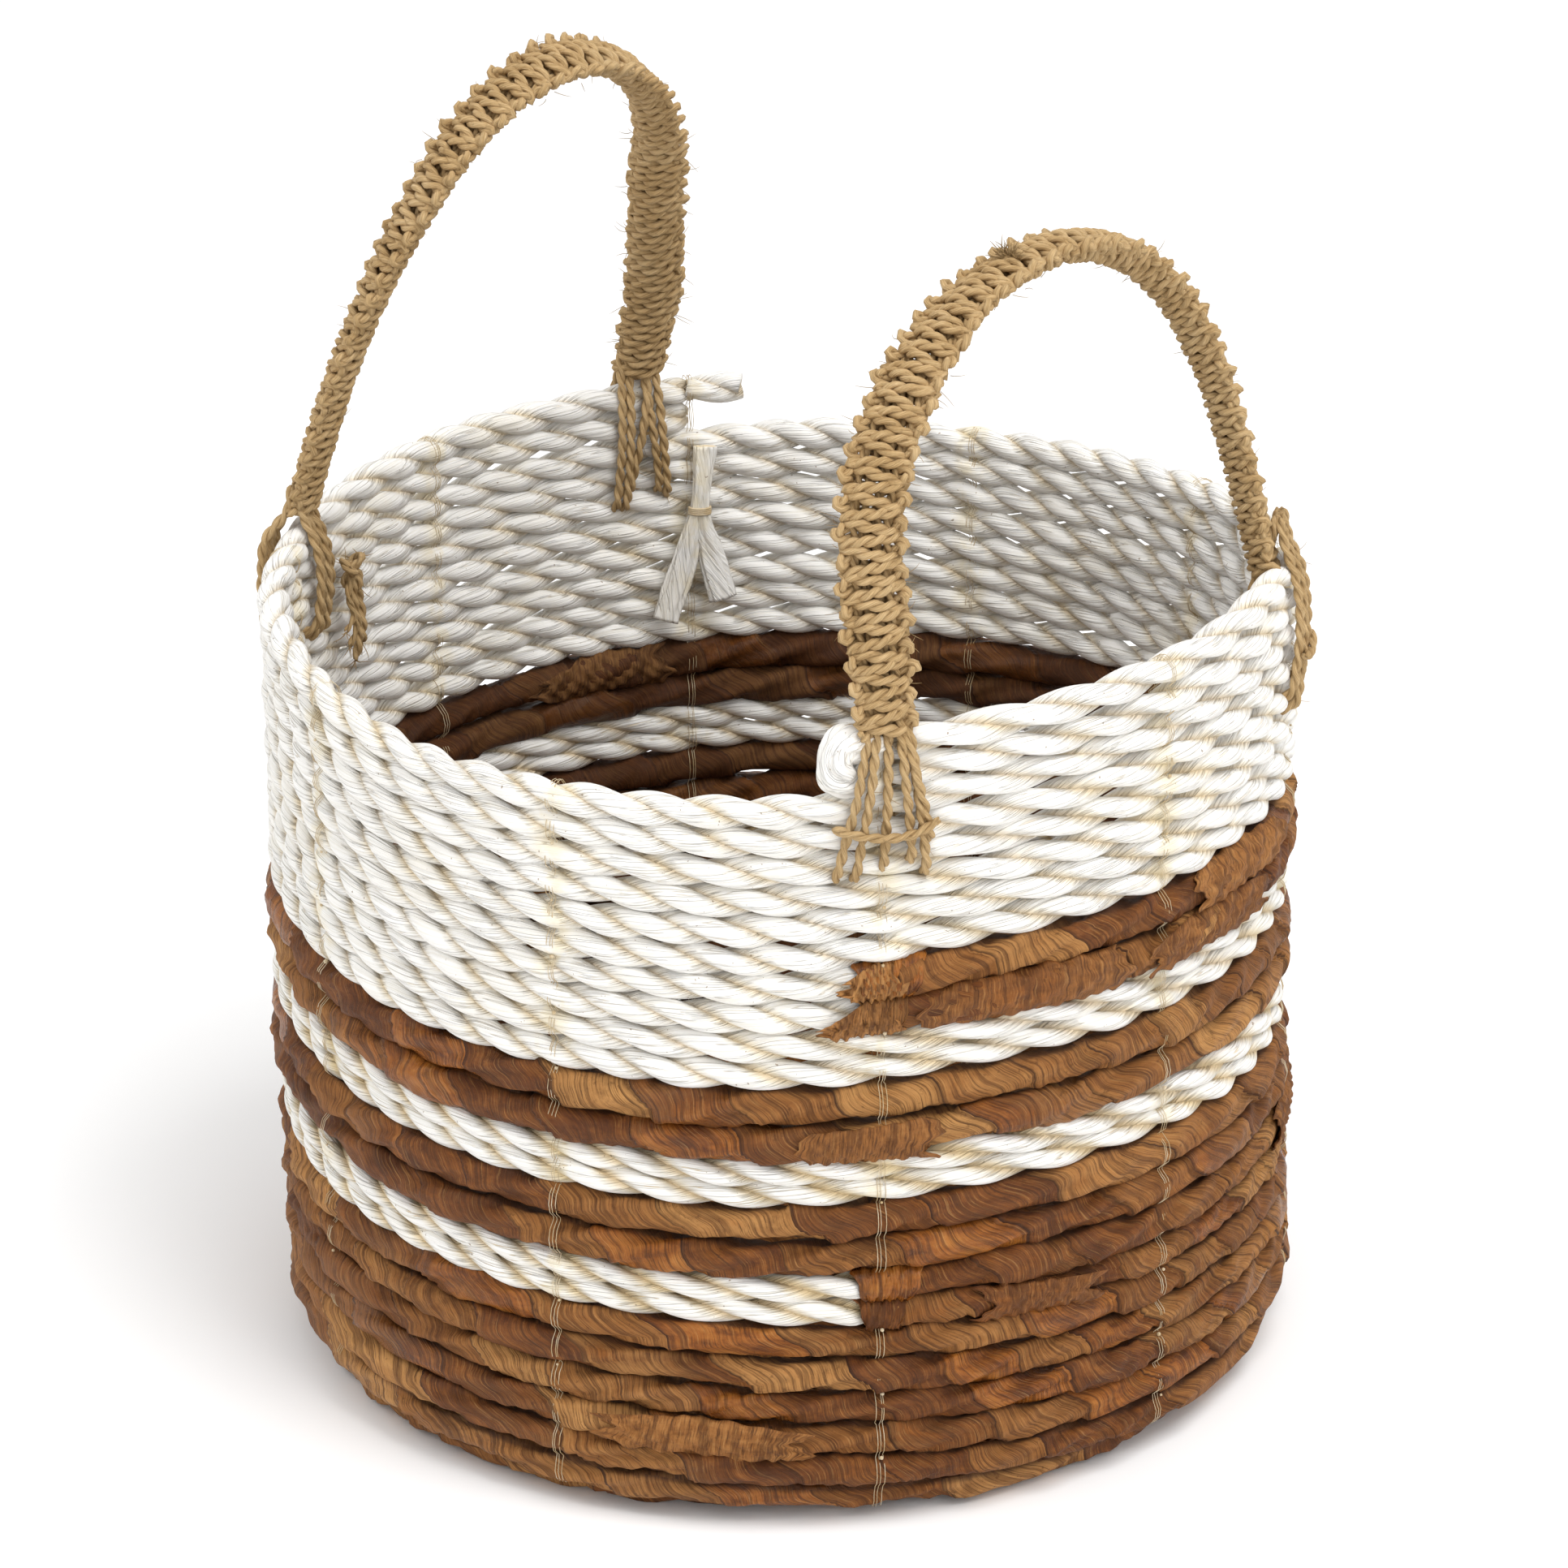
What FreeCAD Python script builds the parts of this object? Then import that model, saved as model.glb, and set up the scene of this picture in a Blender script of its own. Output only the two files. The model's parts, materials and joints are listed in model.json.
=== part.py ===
import FreeCAD, Part
import math
import os
import Sketcher
from FreeCAD import Placement, Rotation, Vector

# Round coiled basket with two arched handles. Millimetres, +Z up, origin at the middle of the
# underside. Two pairs of rope are wound as a two-start spiral: across the base, round the bottom
# corner and up the wall. An angle phi is measured about +Z, anticlockwise from -Y. The right
# handle stands at +X and the left handle at -X.

drivingSizes = [
    ("basketRadius", 178.0, "outside of the wall"),
    ("rowPitch", 11.15, "height of one row of rope"),
    ("rowCount", 26, "rows in the wall at its tallest"),
    ("ropeGap", 0.3, "clearance between neighbouring pieces"),
    ("cornerRadius", 15.0, "rope centre line where the wall turns into the base"),
    ("footFlat", 0.35, "depth pressed flat under the base ropes"),
    ("innerTurnRadius", 11.0, "rope centre line at the middle of the base"),
    ("pairAStart", 54.0, "degrees, top end of rope pair a"),
    ("pairBStart", 234.0, "degrees, top end of rope pair b"),
    ("whiteTurnsA", 2.0, "turns of white rope in pair a"),
    ("whiteTurnsB", 4.5, "turns of white rope in pair b"),
    ("spliceLength", 10.0, "leaf wrap where white rope meets bark rope"),
    ("columnCount", 10, "columns of stitching round the wall"),
    ("columnStart", 54.5, "degrees, first column of stitching"),
    ("threadSize", 1.0, "stitching thread diameter"),
    ("threadGap", 0.25, "thread to rope"),
    ("strapWidth", 26.0, "knotted handle, across the arch"),
    ("strapThickness", 12.0, "knotted handle, in the plane of the arch"),
    ("coreWidth", 14.6, "filler cords inside the handle"),
    ("coreThickness", 5.0, "filler cords inside the handle"),
    ("handFootRadius", 9.0, "rounded foot of the handle about its hinge"),
    ("handFootGap", 0.6, "foot to the leg cords below it"),
    ("rightSpread", 96.0, "half the distance between the feet"),
    ("rightSlant", 6.0, "degrees that each leg leans towards the other"),
    ("rightArchRadius", 92.4, "top of the arch"),
    ("rightLean", 11.0, "degrees that the handle rests leaning inwards"),
    ("leftSpread", 86.0, "half the distance between the feet"),
    ("leftSlant", 8.0, "degrees that each leg leans towards the other"),
    ("leftArchRadius", 74.9, "top of the arch"),
    ("leftLean", 20.0, "degrees that the handle rests leaning inwards"),
    ("cordSize", 3.4, "seagrass cord diameter"),
    ("legWidth", 14.0, "four cords side by side over the rim"),
    ("cordStandoff", 1.6, "leg cords to rope, with room for the thread"),
    ("outerDrop", 50.0, "leg cords below the rim rope, outside"),
    ("innerDrop", 44.0, "leg cords below the rim rope, inside"),
    ("tieBend", 52.0, "radius of the cord tied across the leg cords"),
    ("tieAngle", 44.0, "degrees of that bend that the cord covers"),
    ("tieGap", 0.8, "tie to the leg cords"),
    ("tieDrop", 34.0, "tie below the rim rope"),
    ("ropeEndLength", 16.0, "folded cut end of a rope pair"),
    ("ropeEndRound", 3.5, "rounding of the folded end"),
    ("tailWidth", 7.0, "flat cut rope end hanging inside"),
    ("tailThickness", 4.0, "flat cut rope end hanging inside"),
    ("tailLength", 46.0, "flat cut rope end hanging inside"),
    ("tailRound", 1.5, "rounding of the hanging end"),
    ("tailDrop", 40.0, "top of the hanging ends below the rim"),
    ("tailAngle", 228.5, "degrees, between the two hanging ends"),
    ("tailRadius", 161.0, "hanging ends to the basket's axis"),
    ("bindingHeight", 2.0, "thread that binds the hanging ends"),
    ("bindingSize", 1.2, "thickness of that binding"),
    ("knotSize", 10.0, "frayed knot beside a leg, diameter"),
    ("knotAngle", 292.0, "degrees, frayed knot"),
    ("knotDrop", 30.0, "knot below the rim"),
    ("knotTail", 32.0, "loose cord under the knot"),
]

doc = FreeCAD.newDocument("basket")
sheet = doc.addObject("Spreadsheet::Sheet", "Sizes")
for row, (alias, value, note) in enumerate(drivingSizes, start=1):
    sheet.set("A%d" % row, alias)
    sheet.set("B%d" % row, str(value))
    sheet.set("C%d" % row, note)
    sheet.setAlias("B%d" % row, alias)
doc.recompute()


def size(alias):
    return float(sheet.get(alias))


rowPitch = size("rowPitch")
ropeGap = size("ropeGap")
ropeRadius = (rowPitch - ropeGap) / 2
wallHeight = size("rowCount") * rowPitch
wallCentre = size("basketRadius") - rowPitch / 2
baseCentre = ropeRadius - size("footFlat")
cornerRadius = size("cornerRadius")
fullTurn = 2 * math.pi
risePerTurn = 4 * rowPitch

# Distance along the rope rows from the rim: down the wall, round the corner, across the base.
cornerAt = wallHeight - baseCentre - cornerRadius
flatAt = cornerAt + cornerRadius * math.pi / 2
flatRadius = wallCentre - cornerRadius
middleAt = flatAt + flatRadius - size("innerTurnRadius")
spiralCircle = risePerTurn / fullTurn

subParts = []


def register(obj, label):
    obj.Label = label
    subParts.append(obj)
    return obj


# Rope strands: white rope, leaf splice, bark rope and base rope, all on one spiral.

def rowSection(distance):
    """Radius and height of the rope centre line at a distance from the rim."""
    if distance < cornerAt:
        return wallCentre, wallHeight - distance
    if distance < flatAt:
        bend = (distance - cornerAt) / cornerRadius
        radius = wallCentre - cornerRadius * (1 - math.cos(bend))
        return radius, baseCentre + cornerRadius * (1 - math.sin(bend))
    return flatRadius - (distance - flatAt), baseCentre


def spiralTurn(radius):
    """Extra turn of an involute over an even spiral, which keeps the base ropes a row apart."""
    reach = radius / spiralCircle
    unwound = math.sqrt(reach ** 2 - 1)
    return unwound - math.atan(unwound) - reach


def strandPoint(pairStart, rope, turn):
    """Centre of rope 1 or 2 of a pair, an angle in radians on from the pair's top end."""
    distance = rowPitch * (rope - 0.5) + risePerTurn * turn / fullTurn
    radius, height = rowSection(distance)
    phi = math.radians(pairStart) + turn
    if distance > flatAt:
        phi += spiralTurn(flatRadius) - spiralTurn(radius)
    return Vector(radius * math.sin(phi), -radius * math.cos(phi), height)


def strandDirection(pairStart, rope, turn):
    step = 1e-5
    ahead = strandPoint(pairStart, rope, turn + step)
    return (ahead - strandPoint(pairStart, rope, turn - step)).normalize()


def turnAt(rope, distance):
    """Angle at which a rope of a pair has come a given distance from the rim."""
    return (distance - rowPitch * (rope - 0.5)) / risePerTurn * fullTurn


def strandSolid(pairStart, rope, turnStart, turnEnd):
    """Round rope along the spiral, as quarter-turn lengths of one smooth path."""
    quarters = max(1, round((turnEnd - turnStart) / (math.pi / 2)))
    pointsPerQuarter = 6
    edges = []
    for quarter in range(quarters):
        first = turnStart + (turnEnd - turnStart) * quarter / quarters
        last = turnStart + (turnEnd - turnStart) * (quarter + 1) / quarters
        turns = [first + (last - first) * i / pointsPerQuarter for i in range(pointsPerQuarter + 1)]
        curve = Part.BSplineCurve()
        curve.interpolate(
            Points=[strandPoint(pairStart, rope, turn) for turn in turns],
            InitialTangent=strandDirection(pairStart, rope, first),
            FinalTangent=strandDirection(pairStart, rope, last),
        )
        edges.append(curve.toShape())
    start = strandPoint(pairStart, rope, turnStart)
    section = Part.makeCircle(ropeRadius, start, strandDirection(pairStart, rope, turnStart))
    return Part.Wire(edges).makePipeShell([Part.Wire(section)], True, False)


def pressFlat(solid):
    """Cut away what would reach below the surface that the basket stands on."""
    reach = 2 * size("basketRadius")
    below = Part.makeBox(2 * reach, 2 * reach, rowPitch, Vector(-reach, -reach, -rowPitch))
    return solid.cut(below)


def addStrand(label, shape):
    feature = doc.addObject("Part::Feature", label)
    feature.Shape = shape
    feature.Placement = Placement()
    return register(feature, label)


endGap = ropeGap / wallCentre
halfSplice = size("spliceLength") / 2 / wallCentre
ropePairs = [
    ("a", size("pairAStart"), size("whiteTurnsA") * fullTurn),
    ("b", size("pairBStart"), size("whiteTurnsB") * fullTurn),
]
for pair, pairStart, colourChange in ropePairs:
    spliceStart = colourChange - halfSplice
    spliceEnd = colourChange + halfSplice
    splices = []
    for rope in (1, 2):
        white = strandSolid(pairStart, rope, 0.0, spliceStart - endGap)
        flatTurn = turnAt(rope, flatAt)
        bark = strandSolid(pairStart, rope, spliceEnd + endGap, flatTurn - endGap)
        base = strandSolid(pairStart, rope, flatTurn + endGap, turnAt(rope, middleAt))
        addStrand("white_rope_%s%d" % (pair, rope), white)
        addStrand("bark_rope_%s%d" % (pair, rope), pressFlat(bark))
        addStrand("base_rope_%s%d" % (pair, rope), pressFlat(base))
        splices.append(strandSolid(pairStart, rope, spliceStart, spliceEnd))
    addStrand("leaf_splice_%s" % pair, Part.makeCompound(splices))


# Bodies: each has sketches on its own origin planes, and is placed once it is whole.

def addSketch(body, role, name, offset=0.0):
    plane = [item for item in body.Origin.OriginFeatures if item.Role == role][0]
    sketch = body.newObject("Sketcher::SketchObject", name)
    sketch.AttachmentSupport = [(plane, "")]
    sketch.MapMode = "FlatFace"
    sketch.AttachmentOffset = Placement(Vector(0, 0, offset), Rotation())
    return sketch


def bind(sketch, kind, where, value, formula):
    """Add a dimension and tie it to a formula on the sheet's cells."""
    index = sketch.addConstraint(Sketcher.Constraint(kind, *where, value))
    name = "%s%d" % (kind.lower(), index)
    sketch.renameConstraint(index, name)
    sketch.setExpression("Constraints." + name, formula)


def relate(sketch, relations):
    for relation in relations:
        sketch.addConstraint(Sketcher.Constraint(*relation))


def addLineArcLine(sketch, first, arcStart, arcTop, arcEnd, last):
    """A leg, an arch and a leg, joined smoothly, running anticlockwise."""
    sketch.addGeometry(Part.LineSegment(first, arcStart), False)
    sketch.addGeometry(Part.Arc(arcStart, arcTop, arcEnd), False)
    sketch.addGeometry(Part.LineSegment(arcEnd, last), False)
    relate(sketch, [("Tangent", 0, 2, 1, 1), ("Tangent", 1, 2, 2, 1)])


def addSlot(sketch, middle, width, thickness, widthFormula, thicknessFormula):
    """Slot outline with its long side along the sketch's x."""
    half = (width - thickness) / 2
    radius = thickness / 2
    along = Vector(half, 0, 0)
    tip = Vector(half + radius, 0, 0)
    up = Vector(0, radius, 0)
    first = len(sketch.Geometry)
    sketch.addGeometry(Part.LineSegment(middle - along - up, middle + along - up), False)
    sketch.addGeometry(Part.Arc(middle + along - up, middle + tip, middle + along + up), False)
    sketch.addGeometry(Part.LineSegment(middle + along + up, middle - along + up), False)
    sketch.addGeometry(Part.Arc(middle - along + up, middle - tip, middle - along - up), False)
    for side in range(4):
        relate(sketch, [("Tangent", first + side, 2, first + (side + 1) % 4, 1)])
    relate(sketch, [("Horizontal", first), ("Equal", first + 1, first + 3)])
    bind(sketch, "Radius", (first + 1,), radius, "(%s) / 2" % thicknessFormula)
    spanFormula = "(%s) - (%s)" % (widthFormula, thicknessFormula)
    bind(sketch, "DistanceX", (first, 1, first, 2), 2 * half, spanFormula)


def addPipe(body, name, section, path):
    pipe = body.newObject("PartDesign::AdditivePipe", name)
    pipe.Profile = section
    pipe.Spine = (path, [])
    doc.recompute()


def addArchSweep(label, side, start, startFormula, width, thickness, bore):
    """Strap or core of a handle, upright over the hinge line, which is the body's Y axis."""
    spread, slant, archRadius = [side + word for word in ("Spread", "Slant", "ArchRadius")]
    lean = math.radians(size(slant))
    foot = size(spread) - start * math.tan(lean)
    centre = (size(spread) * math.cos(lean) - size(archRadius)) / math.sin(lean)
    touch = Vector(size(archRadius) * math.cos(lean), centre + size(archRadius) * math.sin(lean), 0)
    mirrored = Vector(-touch.x, touch.y, 0)
    body = doc.addObject("PartDesign::Body", label)
    path = addSketch(body, "YZ_Plane", label + "Path")
    top = Vector(0, centre + size(archRadius), 0)
    addLineArcLine(path, Vector(foot, start, 0), touch, top, mirrored, Vector(-foot, start, 0))
    relate(path, [("Symmetric", 0, 1, 2, 2, -2), ("PointOnObject", 1, 3, -2)])
    footFormula = "2 * Sizes.%s - 2 * (%s) * tan(Sizes.%s * 1 deg)" % (spread, startFormula, slant)
    bind(path, "DistanceX", (2, 2, 0, 1), 2 * foot, footFormula)
    bind(path, "DistanceY", (-1, 1, 0, 1), start, startFormula)
    bind(path, "Angle", (0,), math.pi / 2 + lean, "90 deg + Sizes.%s * 1 deg" % slant)
    bind(path, "Radius", (1,), size(archRadius), "Sizes." + archRadius)
    section = addSketch(body, "XY_Plane", label + "Section", start)
    middle = Vector(0, foot, 0)
    addSlot(section, middle, size(width), size(thickness), "Sizes." + width, "Sizes." + thickness)
    if bore:
        boreFormulas = ["Sizes.%s + 2 * Sizes.ropeGap" % word for word in bore]
        boreSizes = [size(word) + 2 * ropeGap for word in bore]
        addSlot(section, middle, *boreSizes, *boreFormulas)
    doc.recompute()
    addPipe(body, label + "Sweep", section, path)
    return body


def addFeet(body, side):
    """Rounded foot on each leg, so that it turns about the hinge line without a catch."""
    for end, reach in (("Front", -size(side + "Spread")), ("Back", size(side + "Spread"))):
        name = body.Name + end + "Foot"
        disc = addSketch(body, "XZ_Plane", name, reach)
        disc.addGeometry(Part.Circle(Vector(), Vector(0, 0, 1), size("handFootRadius")), False)
        relate(disc, [("Coincident", 0, 3, -1, 1)])
        bind(disc, "Radius", (0,), size("handFootRadius"), "Sizes.handFootRadius")
        pad = body.newObject("PartDesign::Pad", name + "Pad")
        pad.Profile = disc
        pad.SideType = "Symmetric"
        pad.setExpression("Length", "Sizes.strapThickness")
        doc.recompute()


hingeHeight = wallHeight - rowPitch / 2 + ropeRadius + size("cordStandoff") + size("cordSize")
hingeHeight += size("handFootGap") + size("handFootRadius")


def hingeReach(side):
    """Distance of a handle's hinge line from the basket's axis."""
    return math.sqrt(wallCentre ** 2 - size(side + "Spread") ** 2)


strapStart = ropeGap
coreStart = size("handFootRadius") + 2 * ropeGap
for side, facing in (("right", 0), ("left", 180)):
    strap = addArchSweep(side + "_strap", side, strapStart, "Sizes.ropeGap",
                         "strapWidth", "strapThickness", ("coreWidth", "coreThickness"))
    addFeet(strap, side)
    core = addArchSweep(side + "_core", side, coreStart, "Sizes.handFootRadius + 2 * Sizes.ropeGap",
                        "coreWidth", "coreThickness", None)
    outwards = Rotation(Vector(0, 0, 1), facing)
    leaning = outwards * Rotation(Vector(0, 1, 0), -size(side + "Lean"))
    place = outwards.multVec(Vector(hingeReach(side), 0, 0)) + Vector(0, 0, hingeHeight)
    for body in (strap, core):
        body.Placement = Placement(place, leaning)
        register(body, body.Name)


# Pieces that stand over the rim: stitching thread and leg cords, as hoops in a radial plane.

def rimDropFormula(phi):
    """Height that the rim rope has come down by, at an angle phi in degrees."""
    return "4 * Sizes.rowPitch * %g / 360" % ((phi - size("pairAStart")) % 180)


def rimDrop(phi):
    return risePerTurn * ((phi - size("pairAStart")) % 180) / 360


def radialPlacement(phi, radius, height):
    """Body's X axis pointing away from the basket's axis at an angle phi in degrees."""
    angle = math.radians(phi)
    position = Vector(radius * math.sin(angle), -radius * math.cos(angle), height)
    return Placement(position, Rotation(Vector(0, 0, 1), phi - 90))


def addRimHoop(label, phi, reach, reachFormula, outer, outerFormula, inner, innerFormula, section):
    """Hoop over the rim rope: up the outside, over the top and down the inside."""
    body = doc.addObject("PartDesign::Body", label)
    path = addSketch(body, "XZ_Plane", label + "Path")
    addLineArcLine(path, Vector(reach, -outer, 0), Vector(reach, 0, 0), Vector(0, reach, 0),
                   Vector(-reach, 0, 0), Vector(-reach, -inner, 0))
    relate(path, [("Coincident", 1, 3, -1, 1), ("Vertical", 0), ("Vertical", 2)])
    bind(path, "Radius", (1,), reach, reachFormula)
    bind(path, "DistanceY", (0, 1, 0, 2), outer, outerFormula)
    bind(path, "DistanceY", (2, 2, 2, 1), inner, innerFormula)
    profile = addSketch(body, "XY_Plane", label + "Section", -outer)
    profile.setExpression("AttachmentOffset.Base.z", "-(%s)" % outerFormula)
    section(profile, reach)
    doc.recompute()
    addPipe(body, label + "Sweep", profile, path)
    body.Placement = radialPlacement(phi, wallCentre, wallHeight - rowPitch / 2 - rimDrop(phi))
    return register(body, label)


def threadSection(profile, reach):
    radius = size("threadSize") / 2
    profile.addGeometry(Part.Circle(Vector(reach, 0, 0), Vector(0, 0, 1), radius), False)
    bind(profile, "Radius", (0,), radius, "Sizes.threadSize / 2")


def legSection(profile, reach):
    turned = Rotation(Vector(0, 0, 1), 90)
    profile.AttachmentOffset = Placement(Vector(0, 0, -size("outerDrop")), turned)
    addSlot(profile, Vector(0, -reach, 0), size("legWidth"), size("cordSize"),
            "Sizes.legWidth", "Sizes.cordSize")


threadReach = ropeRadius + size("threadGap") + size("threadSize") / 2
threadReachFormula = "(Sizes.rowPitch - Sizes.ropeGap + Sizes.threadSize) / 2 + Sizes.threadGap"
legReach = ropeRadius + size("cordStandoff") + size("cordSize") / 2
legReachFormula = "(Sizes.rowPitch - Sizes.ropeGap + Sizes.cordSize) / 2 + Sizes.cordStandoff"
threadFoot = baseCentre + cornerRadius
threadFootFormula = "(Sizes.rowPitch - Sizes.ropeGap) / 2 - Sizes.footFlat + Sizes.cornerRadius"

for column in range(int(size("columnCount"))):
    phi = size("columnStart") + 360 / size("columnCount") * column
    drop = wallHeight - rowPitch / 2 - rimDrop(phi) - threadFoot
    rimFormula = "(Sizes.rowCount - 0.5) * Sizes.rowPitch - " + rimDropFormula(phi)
    dropFormula = "%s - (%s)" % (rimFormula, threadFootFormula)
    addRimHoop("stitch_column_%02d" % (column + 1), phi, threadReach, threadReachFormula,
               drop, dropFormula, drop, dropFormula, threadSection)


def legAngle(side, end):
    """Angle phi of a handle's leg, in degrees."""
    fromFront = math.degrees(math.acos(size(side + "Spread") / wallCentre))
    angles = {"front": fromFront, "back": 180 - fromFront}
    return angles[end] if side == "right" else 360 - angles[end]


for side in ("right", "left"):
    for end in ("front", "back"):
        addRimHoop("leg_cords_%s_%s" % (side, end), legAngle(side, end), legReach, legReachFormula,
                   size("outerDrop"), "Sizes.outerDrop", size("innerDrop"), "Sizes.innerDrop", legSection)


# Cords tied across the outside of the right handle's leg cords.

for end in ("front", "back"):
    phi = legAngle("right", end)
    tie = doc.addObject("Part::Torus", "tie_right_" + end)
    tie.setExpression("Radius1", "Sizes.tieBend")
    tie.setExpression("Radius2", "Sizes.cordSize / 2")
    tie.setExpression("Angle3", "Sizes.tieAngle")
    outermost = wallCentre + legReach + size("cordSize") + size("tieGap")
    height = wallHeight - rowPitch / 2 - rimDrop(phi) - size("tieDrop")
    tie.Placement = radialPlacement(phi, outermost - size("tieBend"), height)
    tie.Placement.Rotation = Rotation(Vector(0, 0, 1), phi - 90 - size("tieAngle") / 2)
    register(tie, tie.Name)


# Rounded blocks: the folded ends of the rope pairs and the flat ends that hang inside.

def addBlock(label, deep, wide, tall, deepFormula, wideFormula, tallFormula, roundFormula):
    """Block standing on the body's XY plane, deep along X and wide along Y, with its edges rounded."""
    body = doc.addObject("PartDesign::Body", label)
    outline = addSketch(body, "XY_Plane", label + "Outline")
    signs = ((-1, -1), (1, -1), (1, 1), (-1, 1))
    corners = [Vector(x * deep / 2, y * wide / 2, 0) for x, y in signs]
    for side in range(4):
        outline.addGeometry(Part.LineSegment(corners[side], corners[(side + 1) % 4]), False)
    for side in range(4):
        relate(outline, [("Coincident", side, 2, (side + 1) % 4, 1)])
    relate(outline, [("Horizontal", 0), ("Vertical", 1), ("Horizontal", 2), ("Vertical", 3)])
    relate(outline, [("Symmetric", 0, 1, 2, 1, -1, 1)])
    bind(outline, "DistanceX", (0, 1, 0, 2), deep, deepFormula)
    bind(outline, "DistanceY", (1, 1, 1, 2), wide, wideFormula)
    pad = body.newObject("PartDesign::Pad", label + "Pad")
    pad.Profile = outline
    pad.Length = tall
    pad.setExpression("Length", tallFormula)
    doc.recompute()
    fillet = body.newObject("PartDesign::Fillet", label + "Round")
    fillet.Base = (pad, [])
    fillet.UseAllEdges = True
    fillet.setExpression("Radius", roundFormula)
    doc.recompute()
    return register(body, label)


# Each end block stands on the other pair's rope, just before its own pair begins.
for pair, pairStart, rowsTall in (("a", size("pairAStart"), 2), ("b", size("pairBStart"), 1)):
    tall = rowsTall * rowPitch - 3 * ropeGap
    block = addBlock("rim_end_" + pair, 2 * ropeRadius, size("ropeEndLength"), tall,
                     "Sizes.rowPitch - Sizes.ropeGap", "Sizes.ropeEndLength",
                     "%d * Sizes.rowPitch - 3 * Sizes.ropeGap" % rowsTall, "Sizes.ropeEndRound")
    phi = pairStart - math.degrees((size("ropeEndLength") / 2 + 2 * ropeGap) / wallCentre)
    standsAt = wallHeight - rimDrop(pairStart - 1e-6) + ropeGap + (2 - rowsTall) * rowPitch
    block.Placement = radialPlacement(phi, wallCentre, standsAt)

tailStep = math.degrees((size("tailWidth") / 2 + ropeGap) / size("tailRadius"))
tailTop = wallHeight - size("tailDrop")
for tail, step in ((1, -tailStep), (2, tailStep)):
    tailWords = ("tailThickness", "tailWidth", "tailLength")
    tailSizes = [size(word) for word in tailWords]
    tailFormulas = ["Sizes." + word for word in tailWords]
    block = addBlock("hanging_end_%d" % tail, *tailSizes, *tailFormulas, "Sizes.tailRound")
    tailFoot = tailTop - size("tailLength")
    block.Placement = radialPlacement(size("tailAngle") + step, size("tailRadius"), tailFoot)

binding = doc.addObject("PartDesign::Body", "hanging_end_binding")
ring = addSketch(binding, "XY_Plane", "bindingRing")
ring.AttachmentOffset = Placement(Vector(), Rotation(Vector(0, 0, 1), 90))
innerWidth = 2 * size("tailWidth") + 8 * ropeGap + size("tailThickness") / 2
innerThickness = size("tailThickness") + 4 * ropeGap
innerWidthFormula = "2 * Sizes.tailWidth + 8 * Sizes.ropeGap + Sizes.tailThickness / 2"
innerThicknessFormula = "Sizes.tailThickness + 4 * Sizes.ropeGap"
thread = size("bindingSize")
addSlot(ring, Vector(), innerWidth, innerThickness, innerWidthFormula, innerThicknessFormula)
addSlot(ring, Vector(), innerWidth + 2 * thread, innerThickness + 2 * thread,
        innerWidthFormula + " + 2 * Sizes.bindingSize", innerThicknessFormula + " + 2 * Sizes.bindingSize")
doc.recompute()
ringPad = binding.newObject("PartDesign::Pad", "bindingPad")
ringPad.Profile = ring
ringPad.setExpression("Length", "Sizes.bindingHeight")
doc.recompute()
bindingDrop = 3 * size("tailThickness")
binding.Placement = radialPlacement(size("tailAngle"), size("tailRadius"), tailTop - bindingDrop)
register(binding, "hanging_end_binding")


# Frayed knot with a loose cord, inside the wall beside the left handle's front leg.

knotBall = doc.addObject("Part::Sphere", "knotBall")
knotBall.setExpression("Radius", "Sizes.knotSize / 2")
knotCord = doc.addObject("Part::Cylinder", "knotCord")
knotCord.setExpression("Radius", "Sizes.cordSize / 2")
knotCord.setExpression("Height", "Sizes.knotTail")
knotCord.Placement = Placement(Vector(0, 0, -size("knotTail")), Rotation())
knot = doc.addObject("Part::Fuse", "knot_left_front")
knot.Base = knotBall
knot.Tool = knotCord
knotRadius = wallCentre - ropeRadius - size("cordStandoff") - size("knotSize") / 2
knot.Placement = radialPlacement(size("knotAngle"), knotRadius, wallHeight - size("knotDrop"))
register(knot, "knot_left_front")


def checkAndWrite():
    """Stop on any failed object, then write one file for each sub-part."""
    doc.recompute()
    for obj in doc.Objects:
        if "Invalid" in obj.State or "Error" in obj.State:
            raise RuntimeError("%s is %s" % (obj.Label, obj.State))
    for obj in subParts:
        if obj.Shape.isNull() or not obj.Shape.isValid() or not obj.Shape.Solids:
            raise RuntimeError("%s has no valid solid" % obj.Label)
    os.makedirs("parts", exist_ok=True)
    for obj in subParts:
        obj.Shape.exportStep("parts/%s.step" % obj.Label)
        box = obj.Shape.BoundBox
        print("%-22s solids %d volume %9.1f z %.2f to %.2f" % (
            obj.Label, len(obj.Shape.Solids), obj.Shape.Volume, box.ZMin, box.ZMax))


checkAndWrite()
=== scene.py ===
import json
import math
import random
import bmesh
import bpy
import numpy as np
from mathutils import Matrix, Vector


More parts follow.
